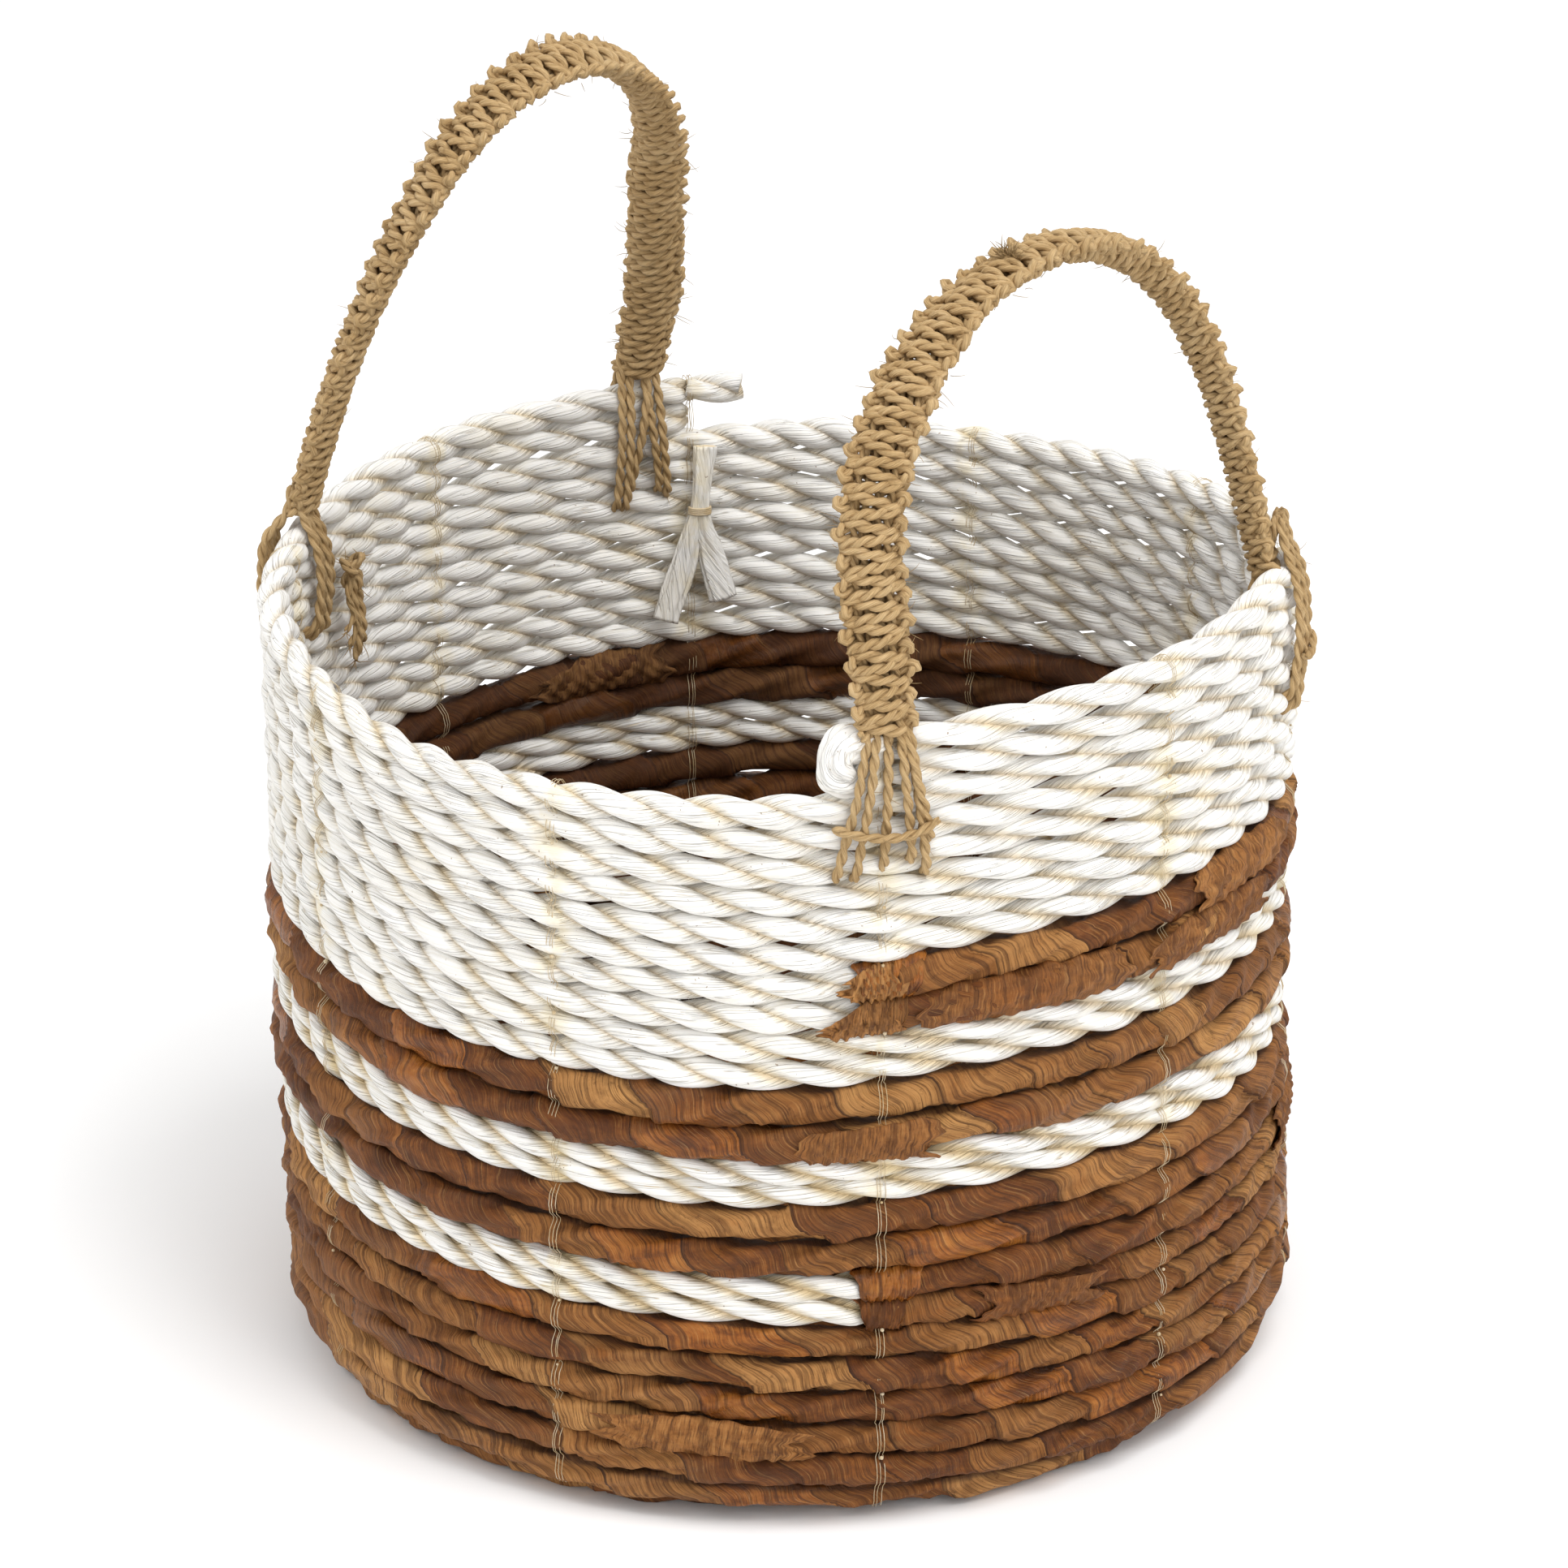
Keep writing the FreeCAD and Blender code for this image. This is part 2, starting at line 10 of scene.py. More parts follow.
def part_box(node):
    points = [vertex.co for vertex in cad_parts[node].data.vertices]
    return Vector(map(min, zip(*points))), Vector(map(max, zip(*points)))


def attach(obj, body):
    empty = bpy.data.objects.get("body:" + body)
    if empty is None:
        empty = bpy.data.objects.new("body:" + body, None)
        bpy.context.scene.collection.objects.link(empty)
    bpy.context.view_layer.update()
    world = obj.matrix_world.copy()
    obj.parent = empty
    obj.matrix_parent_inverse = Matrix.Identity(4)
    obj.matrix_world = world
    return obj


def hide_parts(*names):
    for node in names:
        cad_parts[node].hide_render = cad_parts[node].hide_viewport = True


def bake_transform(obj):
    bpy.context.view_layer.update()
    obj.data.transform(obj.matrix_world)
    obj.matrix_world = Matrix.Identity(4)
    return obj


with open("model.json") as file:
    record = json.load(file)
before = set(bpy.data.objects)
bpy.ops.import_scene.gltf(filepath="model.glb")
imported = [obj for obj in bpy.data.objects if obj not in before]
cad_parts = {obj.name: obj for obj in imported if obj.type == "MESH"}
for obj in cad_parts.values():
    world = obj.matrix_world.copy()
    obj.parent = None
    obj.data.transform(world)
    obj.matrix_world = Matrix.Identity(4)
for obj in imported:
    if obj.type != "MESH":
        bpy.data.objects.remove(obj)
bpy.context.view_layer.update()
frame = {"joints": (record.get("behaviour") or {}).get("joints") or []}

# Metres. The right handle is at +X and the front at -Y. Angles are in degrees,
# anticlockwise from the front, as the ropes run down from the rim.
basket = {
    "startA": 54.0,          # top ends of the two rope pairs
    "startB": 234.0,
    "whiteTurnsA": 2.0,      # turns before white rope changes to bark rope
    "whiteTurnsB": 4.5,
    "whiteRow": 0.0103,      # height of one row
    "squeezedRow": 0.0084,   # white rope between two bulky bark rows
    "bulkyRow": 0.0134,
    "barkRow": 0.0120,
    "cornerRadius": 0.015,
    "baseHeight": 0.0061,    # centre of the base ropes above the floor
    "middleRadius": 0.0085,
    "rimRaise": 0.012,       # the rim is pulled up by the back right leg
    "rimRaiseAt": 120.0,
    "rimDip": 0.005,
    "rimDipAt": 2.0,
    "shift": 0.0035,         # the lower wall stands a little to the right
    "shiftAt": 133.0,
}

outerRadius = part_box("bark_rope_a1")[1].x
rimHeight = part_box("white_rope_a1")[1].z
wallCentre = outerRadius - basket["whiteRow"] / 2
fullTurn = 360.0


def smoothStep(low, high, value):
    share = np.clip((value - low) / (high - low), 0, 1)
    return share * share * (3 - 2 * share)


def rowHeight(pair, turn):
    if pair == "a":
        change = fullTurn * basket["whiteTurnsA"]
        gain = basket["bulkyRow"] - basket["whiteRow"]
        height = basket["whiteRow"] + gain * smoothStep(change - 25, change + 25, turn)
        return height + (basket["barkRow"] - basket["bulkyRow"]) * smoothStep(1440, 1600, turn)
    change = fullTurn * basket["whiteTurnsB"]
    height = basket["whiteRow"] + (basket["squeezedRow"] - basket["whiteRow"]) * smoothStep(870, 930, turn)
    return height + (basket["barkRow"] - basket["squeezedRow"]) * smoothStep(change - 20, change + 20, turn)


cornerArc = basket["cornerRadius"] * math.pi / 2
lastRise = -(wallCentre - basket["cornerRadius"] - basket["middleRadius"])


def settleRows():
    # Height of each pair up the wall's section, worked up from rows of plain bark rope.
    step = 5.0
    half = round(180 / step)
    steady = round(1800 / step)
    grid = np.arange(0, 3600, step)
    plain = -grid / fullTurn * 4 * basket["barkRow"]
    rise = {"a": plain.copy(), "b": plain.copy()}
    heights = {pair: rowHeight(pair, grid) for pair in "ab"}
    for k in range(steady - 1, -1, -1):
        for pair, other in (("a", "b"), ("b", "a")):
            rise[pair][k] = rise[other][k + half] + heights[pair][k] + heights[other][k + half]
    top = rimHeight - basket["whiteRow"] - basket["baseHeight"] - basket["cornerRadius"] + cornerArc
    lift = top - rise["a"][0]
    return grid, {pair: rise[pair] + lift for pair in rise}


turnGrid, pairRise = settleRows()


def turnWhere(pair, rise):
    return float(np.interp(-rise, -pairRise[pair], turnGrid))


def shapeWall(phi, radius, height):
    # What hand work and use did to the round wall.
    share = np.clip(height / rimHeight, 0, 1.2) ** 1.5
    raised = np.exp(-(((phi - basket["rimRaiseAt"] + 180) % 360 - 180) / 34) ** 2)
    dipped = np.exp(-(((phi - basket["rimDipAt"] + 180) % 360 - 180) / 20) ** 2)
    height = height + share * (basket["rimRaise"] * raised - basket["rimDip"] * dipped)
    angle = np.radians(phi)
    low = np.clip(1 - height / 0.19, 0, 1)
    aside = np.cos(angle - math.radians(basket["shiftAt"]))
    radius = radius + basket["shift"] * low * aside * (radius / wallCentre)
    wave = 0.0010 * np.sin(2 * angle + 0.6 + 9 * height) + 0.0007 * np.sin(3 * angle + 31 * height)
    radius = radius + wave * (radius / wallCentre)
    return radius, height


def waviness(seed, along, scale):
    # Smooth wander between -1 and 1 along a rope.
    rng = np.random.default_rng(seed)
    knots = rng.uniform(-1, 1, int(along[-1] / scale) + 4)
    place = along / scale
    index = place.astype(int)
    share = place - index
    share = share * share * (3 - 2 * share)
    return knots[index] * (1 - share) + knots[index + 1] * share


def ropeLine(pair, rope, first, last, step, seed=0):
    dense = np.linspace(first, last, max(8, int((last - first) / 2.0)))
    start = basket["startA"] if pair == "a" else basket["startB"]

    def section(turn):
        height = rowHeight(pair, turn)
        rise = np.interp(turn, turnGrid, pairRise[pair]) + (0.5 - (rope - 1)) * height
        bend = np.clip((cornerArc - rise) / basket["cornerRadius"], 0, math.pi / 2)
        radius = wallCentre - basket["cornerRadius"] * (1 - np.cos(bend)) + np.minimum(rise, 0)
        z = basket["baseHeight"] + basket["cornerRadius"] * (1 - np.sin(bend))
        z = z + np.maximum(rise - cornerArc, 0)
        return radius, z, bend, height

    radius, z, bend, height = section(dense)
    lengths = np.radians(np.diff(dense)) * (radius[1:] + radius[:-1]) / 2
    travelled = np.concatenate([[0], np.cumsum(lengths)])
    count = max(4, int(travelled[-1] / step))
    along = np.linspace(0, travelled[-1], count)
    turn = np.interp(along, travelled, dense)
    radius, z, bend, height = section(turn)
    phi = start + turn
    onWall = 1 - bend / (math.pi / 2)
    radius = radius + 0.0007 * waviness(seed + 1, along, 0.05) * onWall
    z = z + 0.0004 * waviness(seed + 2, along, 0.035) * onWall
    radius, z = shapeWall(phi, radius, z)
    angle = np.radians(phi)
    outwards = np.stack([np.sin(angle), -np.cos(angle), 0 * angle], 1)
    upwards = np.array([[0.0, 0.0, 1.0]])
    place = outwards * radius[:, None] + upwards * z[:, None]
    cosine = np.cos(bend)[:, None]
    sine = np.sin(bend)[:, None]
    return {
        "place": place,
        "out": outwards * cosine - upwards * sine,
        "rim": upwards * cosine + outwards * sine,
        "along": along,
        "turn": turn,
        "height": height,
    }


def makeTubes(name, paths, radii, sides, twist="Z_UP", closeEnds=True):
    # Round strands along rows of points. The UV map's u is metres along and v is turns around.
    curve = bpy.data.curves.new(name, "CURVE")
    curve.dimensions = "3D"
    curve.twist_mode = twist
    curve.bevel_depth = 1.0
    curve.bevel_resolution = (sides - 4) // 2
    sizes = []
    for path, radius in zip(paths, radii):
        spline = curve.splines.new("POLY")
        spline.points.add(len(path) - 1)
        spline.points.foreach_set("co", np.c_[path, np.ones(len(path))].ravel())
        spline.points.foreach_set("radius", np.broadcast_to(radius, len(path)).astype(np.float32))
        sizes.append(len(path))
    holder = bpy.data.objects.new(name, curve)
    mesh = bpy.data.meshes.new_from_object(holder)
    mesh.name = name
    bpy.data.objects.remove(holder)
    bpy.data.curves.remove(curve)
    layer = mesh.uv_layers[0]
    uv = np.empty(len(mesh.loops) * 2, np.float32)
    layer.data.foreach_get("uv", uv)
    uv = uv.reshape(-1, 4, 2)
    face = 0
    for path, count in zip(paths, sizes):
        length = np.linalg.norm(np.diff(path, axis=0), axis=1).sum()
        faces = (count - 1) * sides
        uv[face:face + faces, :, 0] *= length
        face += faces
    layer.data.foreach_set("uv", uv.ravel())
    layer.name = "strand"
    if closeEnds:
        ends = []
        first = 0
        for count in sizes:
            ends.append((first, first + sides))
            ends.append((first + (count - 1) * sides, first + count * sides))
            first += count * sides
        work = bmesh.new()
        work.from_mesh(mesh)
        work.verts.ensure_lookup_table()
        for low, high in ends:
            ring = [work.verts[i] for i in range(low, high)]
            edges = [e for e in {e for v in ring for e in v.link_edges} if e.is_boundary]
            if edges:
                bmesh.ops.holes_fill(work, edges=edges, sides=0)
        work.to_mesh(mesh)
        work.free()
    mesh.shade_smooth()
    return mesh


def addPiece(name, mesh, material, body, nodes=()):
    piece = bpy.data.objects.new(name, mesh)
    bpy.context.scene.collection.objects.link(piece)
    mesh.materials.clear()
    mesh.materials.append(material)
    if body:
        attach(piece, body)
    if nodes:
        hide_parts(*nodes)
    return piece


# Shader maths: a socket with the usual signs on it.
class Value:
    def __init__(self, tree, socket):
        self.tree = tree
        self.socket = socket

    def work(self, operation, *others):
        made = self.tree.nodes.new("ShaderNodeMath")
        made.operation = operation
        for place, item in enumerate((self, *others)):
            if isinstance(item, Value):
                self.tree.links.new(item.socket, made.inputs[place])
            elif item is not None:
                made.inputs[place].default_value = item
        return Value(self.tree, made.outputs[0])

    def flipped(self, operation, other):
        made = self.tree.nodes.new("ShaderNodeMath")
        made.operation = operation
        made.inputs[0].default_value = other
        self.tree.links.new(self.socket, made.inputs[1])
        return Value(self.tree, made.outputs[0])

    def __add__(self, other):
        return self.work("ADD", other)

    def __radd__(self, other):
        return self.work("ADD", other)

    def __sub__(self, other):
        return self.work("SUBTRACT", other)

    def __rsub__(self, other):
        return self.flipped("SUBTRACT", other)

    def __mul__(self, other):
        return self.work("MULTIPLY", other)

    def __rmul__(self, other):
        return self.work("MULTIPLY", other)

    def __truediv__(self, other):
        return self.work("DIVIDE", other)

    def __pow__(self, other):
        return self.work("POWER", other)

    def floor(self):
        return self.work("FLOOR")

    def fraction(self):
        return self.work("FRACT")

    def wave(self):
        return self.work("SINE")

    def cosine(self):
        return self.work("COSINE")

    def size(self):
        return self.work("ABSOLUTE")

    def between(self, low, high):
        # 0 below low and 1 above high, smooth between
        made = self.tree.nodes.new("ShaderNodeMapRange")
        made.interpolation_type = "SMOOTHSTEP"
        made.inputs["From Min"].default_value = low
        made.inputs["From Max"].default_value = high
        self.tree.links.new(self.socket, made.inputs["Value"])
        return Value(self.tree, made.outputs["Result"])


class Finish:
    # One material and the nodes in it.
    def __init__(self, name, **constants):
        self.material = bpy.data.materials.new(name)
        self.material.use_nodes = True
        self.tree = self.material.node_tree
        self.shader = self.tree.nodes["Principled BSDF"]
        for key, value in constants.items():
            self.shader.inputs[key.replace("_", " ")].default_value = value

    def node(self, kind, settings=None, output=0, **sockets):
        made = self.tree.nodes.new("ShaderNode" + kind)
        for key, value in (settings or {}).items():
            setattr(made, key, value)
        for key, value in sockets.items():
            socket = made.inputs[int(key[1:])] if key[1:].isdigit() else made.inputs[key.replace("_", " ")]
            if isinstance(value, Value):
                self.tree.links.new(value.socket, socket)
            else:
                socket.default_value = value
        return Value(self.tree, made.outputs[output])

    def ramp(self, factor, stops):
        made = self.tree.nodes.new("ShaderNodeValToRGB")
        bar = made.color_ramp.elements
        bar[0].position = stops[0][0]
        bar[0].color = (*stops[0][1], 1)
        bar[1].position = stops[-1][0]
        bar[1].color = (*stops[-1][1], 1)
        for place, colour in stops[1:-1]:
            bar.new(place).color = (*colour, 1)
        self.tree.links.new(factor.socket, made.inputs[0])
        return Value(self.tree, made.outputs[0])

    def mix(self, factor, first, second, blend="MIX"):
        made = self.tree.nodes.new("ShaderNodeMix")
        made.data_type = "RGBA"
        made.blend_type = blend
        for place, item in ((0, factor), (6, first), (7, second)):
            if isinstance(item, Value):
                self.tree.links.new(item.socket, made.inputs[place])
            elif place:
                made.inputs[place].default_value = (*item, 1)
            else:
                made.inputs[place].default_value = item
        return Value(self.tree, made.outputs[2])

    def split(self, vector):
        made = self.tree.nodes.new("ShaderNodeSeparateXYZ")
        self.tree.links.new(vector.socket, made.inputs[0])
        return [Value(self.tree, socket) for socket in made.outputs]

    def join(self, x, y, z):
        return self.node("CombineXYZ", None, 0, i0=x, i1=y, i2=z)

    def noise(self, vector, scale, detail=2.0, rough=0.5):
        return self.node("TexNoise", None, 0, Vector=vector, Scale=scale, Detail=detail, Roughness=rough)

    def objectPlace(self):
        return self.node("TexCoord", None, 3)

    def map(self, name):
        return self.node("UVMap", {"uv_map": name})

    def finish(self, colour, rough, height, depth):
        links = self.tree.links
        links.new(colour.socket, self.shader.inputs["Base Color"])
        links.new(rough.socket, self.shader.inputs["Roughness"])
        bump = self.node("Bump", None, 0, Height=height, Distance=depth, Strength=1.0)
        links.new(bump.socket, self.shader.inputs["Normal"])
        return self.material


columnStart = 54.5
columnCount = 10


def makeWhiteFinish():
    # Bleached leaf twisted into plies: smooth, with fine pleats, cream in the creases, and painted shade in
    # the grooves between plies.
    f = Finish("bleachedRope", Specular_IOR_Level=0.3)
    u, v, _ = f.split(f.map("strand"))
    depth, _, _ = f.split(f.map("depth"))
    turn = (v * 1.0 + u * 15.0) * (2 * math.pi)
    pleatSpace = f.join(turn.cosine() * 1.5, turn.wave() * 1.5, u * 5.0)
    foldSpace = f.join(turn.cosine() * 0.55, turn.wave() * 0.55, u * 7.0)
    pleats = f.noise(pleatSpace, 4.6, 3.0, 0.55)
    folds = f.noise(foldSpace, 3.0, 2.0, 0.5)
    place = f.objectPlace()
    patch = f.noise(place, 24.0, 3.0, 0.6)
    wear = f.noise(place, 95.0, 3.0, 0.6)
    speck = f.noise(place, 620.0, 1.0, 0.5)
    x, y, z = f.split(place)
    line = 1 - ((pleats - 0.5).size() * 9.0).between(0.0, 0.20)
    deepLine = 1 - ((folds - 0.5).size() * 9.0).between(0.0, 0.16)
    angle = x.work("ARCTAN2", y * -1.0) * (180 / math.pi)
    column = ((angle - columnStart) / (360 / columnCount) + 40.5).fraction() - 0.5
    nearThread = 1 - (column.size() * (360 / columnCount)).between(0.5, 3.2)
    low = 1 - z.between(0.11, 0.20)
    inside = 1 - (x * x + y * y).work("SQRT").between(wallCentre - 0.004, wallCentre)
    plyGrooveShade = 1 - depth.between(0.50, 0.70)
    lip = 1 - depth.between(0.60, 0.86)
    tone = f.mix(pleats.between(0.30, 0.55), (0.80, 0.77, 0.70), (0.90, 0.885, 0.855))
    # stain patches of yellowed leaf, which are real; the extra amount on the inside of the wall is painted
    # shade
    tone = f.mix(patch.between(0.46, 0.72) * (0.25 + inside * 0.25), tone, (0.82, 0.76, 0.63))
    tone = f.mix(lip * (0.22 + patch.between(0.42, 0.62) * 0.35 + low * 0.30), tone, (0.80, 0.66, 0.42))
    # painted shade in the deep grooves between the two plies, in the tan of the creases
    tone = f.mix(plyGrooveShade * (0.45 + low * 0.2), tone, (0.60, 0.42, 0.19))
    tone = f.mix(line * lip * 0.55, tone, (0.55, 0.42, 0.25))
    tone = f.mix(deepLine * wear.between(0.42, 0.60) * (0.30 + low * 0.45), tone, (0.72, 0.52, 0.24))
    tone = f.mix(nearThread * wear.between(0.40, 0.62) * 0.42, tone, (0.82, 0.68, 0.38))
    tone = f.mix(speck.between(0.755, 0.79) * 0.7, tone, (0.25, 0.16, 0.08))
    rough = 0.50 + pleats * 0.18
    height = pleats * 0.55 + folds * 0.9 - deepLine * 0.35 - line * lip * 0.35
    return f.finish(tone, rough, height, 0.0010)


def makeBarkFinish(name, whole):
    # Dried leaf wrapped in strips: each strip has its own colour, with fibres along it.
    # On a whole leaf, the number of the leaf is in the tens of the map's second value.
    f = Finish(name, Specular_IOR_Level=0.30)
    across, along, _ = f.split(f.map("leaf"))
    if whole:
        wrap = (along * 0.1).floor() + 0.5
        share = (across * 0.0) + 0.5
    else:
        wrap = across.floor() + 0.5
        share = across.fraction()
    own = f.node("TexWhiteNoise", {"noise_dimensions": "1D"}, 0, W=wrap)
    own2 = f.node("TexWhiteNoise", {"noise_dimensions": "1D"}, 0, W=wrap * 3.7 + 11.3)
    own3 = f.node("TexWhiteNoise", {"noise_dimensions": "1D"}, 0, W=wrap * 1.9 + 47.1)
    place = f.objectPlace()
    sway = f.noise(place, 70.0, 2.0, 0.5)
    fibreSpace = f.join(across + sway * 0.022, along * 0.05, own * 31.0)
    fibre = f.noise(fibreSpace, 54.0, 5.0, 0.75)
    thread = f.noise(fibreSpace, 19.0, 2.0, 0.5)
    broad = f.noise(f.join(across * 1.0, along * 2.0, own * 17.0), 3.4, 4.0, 0.6)
    blotch = f.noise(place, 52.0, 5.0, 0.7)
    mottle = f.noise(place, 260.0, 4.0, 0.7)
    tan = f.ramp(broad * 0.5 + own2 * 0.35 + blotch * 0.15, [
        (0.25, (0.190, 0.078, 0.022)),
        (0.42, (0.360, 0.172, 0.058)),
        (0.56, (0.480, 0.262, 0.105)),
        (0.75, (0.620, 0.380, 0.170)),
    ])
    brown = f.ramp(broad * 0.6 + blotch * 0.4, [
        (0.30, (0.050, 0.016, 0.004)),
        (0.45, (0.150, 0.052, 0.012)),
        (0.58, (0.280, 0.110, 0.026)),
        (0.72, (0.400, 0.175, 0.044)),
    ])
    orange = f.ramp(broad, [
        (0.30, (0.120, 0.035, 0.008)),
        (0.50, (0.400, 0.150, 0.028)),
        (0.70, (0.560, 0.260, 0.070)),
    ])
    wide = f.noise(place, 9.0, 2.0, 0.5)
    x, y, z = f.split(place)
    low = 1 - z.between(0.045, 0.085)
    pick = own * 0.42 + wide * 0.85 + broad * 0.35 - low * 0.09
    if whole:
        pick = pick - 0.16
    tone = f.mix(pick.between(0.70, 0.92), tan, brown)
    tone = f.mix((own3 * 0.6 + wide * 0.7 - low * 0.1).between(0.78, 0.90) * 0.85, tone, orange)
    tone = f.mix(blotch.between(0.54, 0.70) * 0.55, tone, (0.120, 0.048, 0.015))
    tone = f.mix((1 - fibre.between(0.36, 0.52)) * 0.78, tone, (0.070, 0.027, 0.008))
    tone = f.mix((1 - thread.between(0.38, 0.50)) * 0.55, tone, (0.100, 0.040, 0.011))
    tone = f.mix(fibre.between(0.54, 0.68) * 0.42, tone, (0.640, 0.420, 0.200))
    tone = f.mix(mottle.between(0.60, 0.68) * 0.45, tone, (0.070, 0.026, 0.009))
    # painted shade along the start of each strip, under the edge of the strip that overlaps it; the same mask
    # also lowers the bump there
    edge = 1 - share.between(0.0, 0.05)
    tone = f.mix(edge * 0.75, tone, (0.030, 0.011, 0.004))
    if not whole:
        distanceToShadedGap = ((along * 2.0 + 0.5 + sway * 0.06).fraction() - 0.53).size()    # 0 where rows meet
        # painted shade in the gap where two rows of rope meet
        tone = f.mix((1 - distanceToShadedGap.between(0.05, 0.17)) * 0.72, tone, (0.040, 0.015, 0.005))
    tone = f.mix(1.0, tone, (0.84, 0.69, 0.49), "MULTIPLY")
    reach = (x * x + y * y).work("SQRT")
    # painted shade on the inside of the wall, above the base
    inside = (1 - reach.between(wallCentre - 0.004, wallCentre + 0.001)) * z.between(0.02, 0.03)
    tone = f.mix(inside * 0.62, tone, (0.040, 0.014, 0.005))
    rough = 0.66 + fibre * 0.15 - own3.between(0.76, 0.90) * 0.36 - own.between(0.45, 0.70) * 0.12
    height = fibre * 0.60 + thread * 0.35 + broad * 0.45 + mottle * 0.20 - edge * 0.3
    return f.finish(tone, rough, height, 0.0012)


def makeCordFinish():
    # Seagrass: long thin fibres that follow each ply.
    f = Finish("seagrassCord", Specular_IOR_Level=0.3)
    u, v, _ = f.split(f.map("strand"))
    turn = (v + u * 40.0) * (2 * math.pi)
    fibre = f.noise(f.join(turn.cosine() * 1.2, turn.wave() * 1.2, u * 60.0), 3.5, 4.0, 0.65)
    place = f.objectPlace()
    blotch = f.noise(place, 60.0, 4.0, 0.6)
    fine = f.noise(place, 420.0, 3.0, 0.6)
    tone = f.ramp(fibre * 0.7 + blotch * 0.3, [
        (0.28, (0.240, 0.135, 0.050)),
        (0.42, (0.420, 0.265, 0.110)),
        (0.54, (0.590, 0.405, 0.200)),
        (0.68, (0.760, 0.570, 0.330)),
    ])
    tone = f.mix(blotch.between(0.55, 0.75) * 0.35, tone, (0.330, 0.215, 0.085))
    tone = f.mix(fine.between(0.60, 0.72) * 0.3, tone, (0.150, 0.075, 0.022))
    rough = 0.60 + fibre * 0.25
    return f.finish(tone, rough, fibre * 1.0 + fine * 0.3, 0.0006)


def makeThreadFinish():
    f = Finish("raffiaThread", Specular_IOR_Level=0.4)
    place = f.objectPlace()
    patch = f.noise(place, 160.0, 3.0, 0.6)
    fine = f.noise(place, 1500.0, 2.0, 0.6)
    tone = f.ramp(patch, [(0.35, (0.66, 0.56, 0.40)), (0.62, (0.48, 0.35, 0.18))])
    rough = 0.45 + fine * 0.2
    return f.finish(tone, rough, fine, 0.0002)


whiteFinish = makeWhiteFinish()
barkFinish = makeBarkFinish("barkLeaf", False)
wholeLeafFinish = makeBarkFinish("wholeLeaf", True)
threadFinish = makeThreadFinish()
cordFinish = makeCordFinish()
print("materials made")

whiteRope = {
    "plyRadius": 0.00375,
    "plyOffset": 0.00215,
    "twistLength": 0.0415,
    "slackTwist": 0.016,     # extra length of a twist on the slacker right side
    "slackAt": 76.0,
    "slackGap": 0.06,        # how much thinner the plies are there
    "sides": 16,
    "step": 0.0021,
}


def addWhiteRope(name, pair, rope, first, last, seed, nodes, rounded=True):
    line = ropeLine(pair, rope, first, last, whiteRope["step"], seed)
    along = line["along"]
    squeeze = np.clip(line["height"] / basket["whiteRow"], 0.9, 1.05)
    start = basket["startA"] if pair == "a" else basket["startB"]
    aside = (start + line["turn"] - whiteRope["slackAt"] + 180) % 360 - 180
    twistLength = whiteRope["twistLength"] + whiteRope["slackTwist"] * np.exp(-(aside / 40) ** 2)
    twistLength = twistLength * (1 + 0.10 * waviness(seed + 4, along, 0.16))
    angle = np.cumsum(2 * math.pi * np.gradient(along) / twistLength)
    angle = angle + 0.4 * waviness(seed + 5, along, 0.06) + seed
    paths = []
    radii = []
    for ply in (0, 1):
        twist = angle + ply * math.pi
        offset = whiteRope["plyOffset"] * (1 + 0.10 * waviness(seed + 7 + ply, along, 0.022))
        path = line["place"] + offset[:, None] * (
            line["rim"] * np.cos(twist)[:, None] * squeeze[:, None] + line["out"] * np.sin(twist)[:, None])
        radius = whiteRope["plyRadius"] * (1 + 0.07 * waviness(seed + 9 + ply, along, 0.014)) * squeeze
        radius = radius * (1 - whiteRope["slackGap"] * np.exp(-(aside / 38) ** 2))
        if rounded:
            radius[:3] *= (0.35, 0.75, 0.93)
            radius[-3:] *= (0.93, 0.75, 0.35)
        paths.append(path)
        radii.append(radius)
    mesh = makeTubes(name, paths, radii, whiteRope["sides"])
    noteDepth(mesh, line["place"], whiteRope["sides"])
    return addPiece(name, mesh, whiteFinish, "root", nodes)


def noteDepth(mesh, centres, sides):
    # how far each place on a ply is from the rope's middle, for the cream creases and the painted shade in
    # the grooves between plies
    co = np.empty(len(mesh.vertices) * 3)
    mesh.vertices.foreach_get("co", co)
    count = len(centres) * sides
    ring = co.reshape(-1, 3)[:2 * count].reshape(2, len(centres), sides, 3)
    depth = np.ones(len(mesh.vertices))
    depth[:2 * count] = np.linalg.norm(ring - centres[None, :, None, :], axis=3).ravel() / 0.006
    corner = np.empty(len(mesh.loops), int)
    mesh.loops.foreach_get("vertex_index", corner)
    layer = mesh.uv_layers.new(name="depth")
    layer.data.foreach_set("uv", np.stack([depth[corner], depth[corner] * 0], 1).ravel())


barkRope = {
    "baseSides": 14,
    "baseStep": 0.0034,
    "sides": 24,
    "step": 0.0019,
    "wrapLength": 0.036,    # along the rope, for one strip of leaf
    "slant": -0.80,         # wraps that an edge moves along in going once round
    "edge": 0.0015,         # how far a strip's edge stands out
}


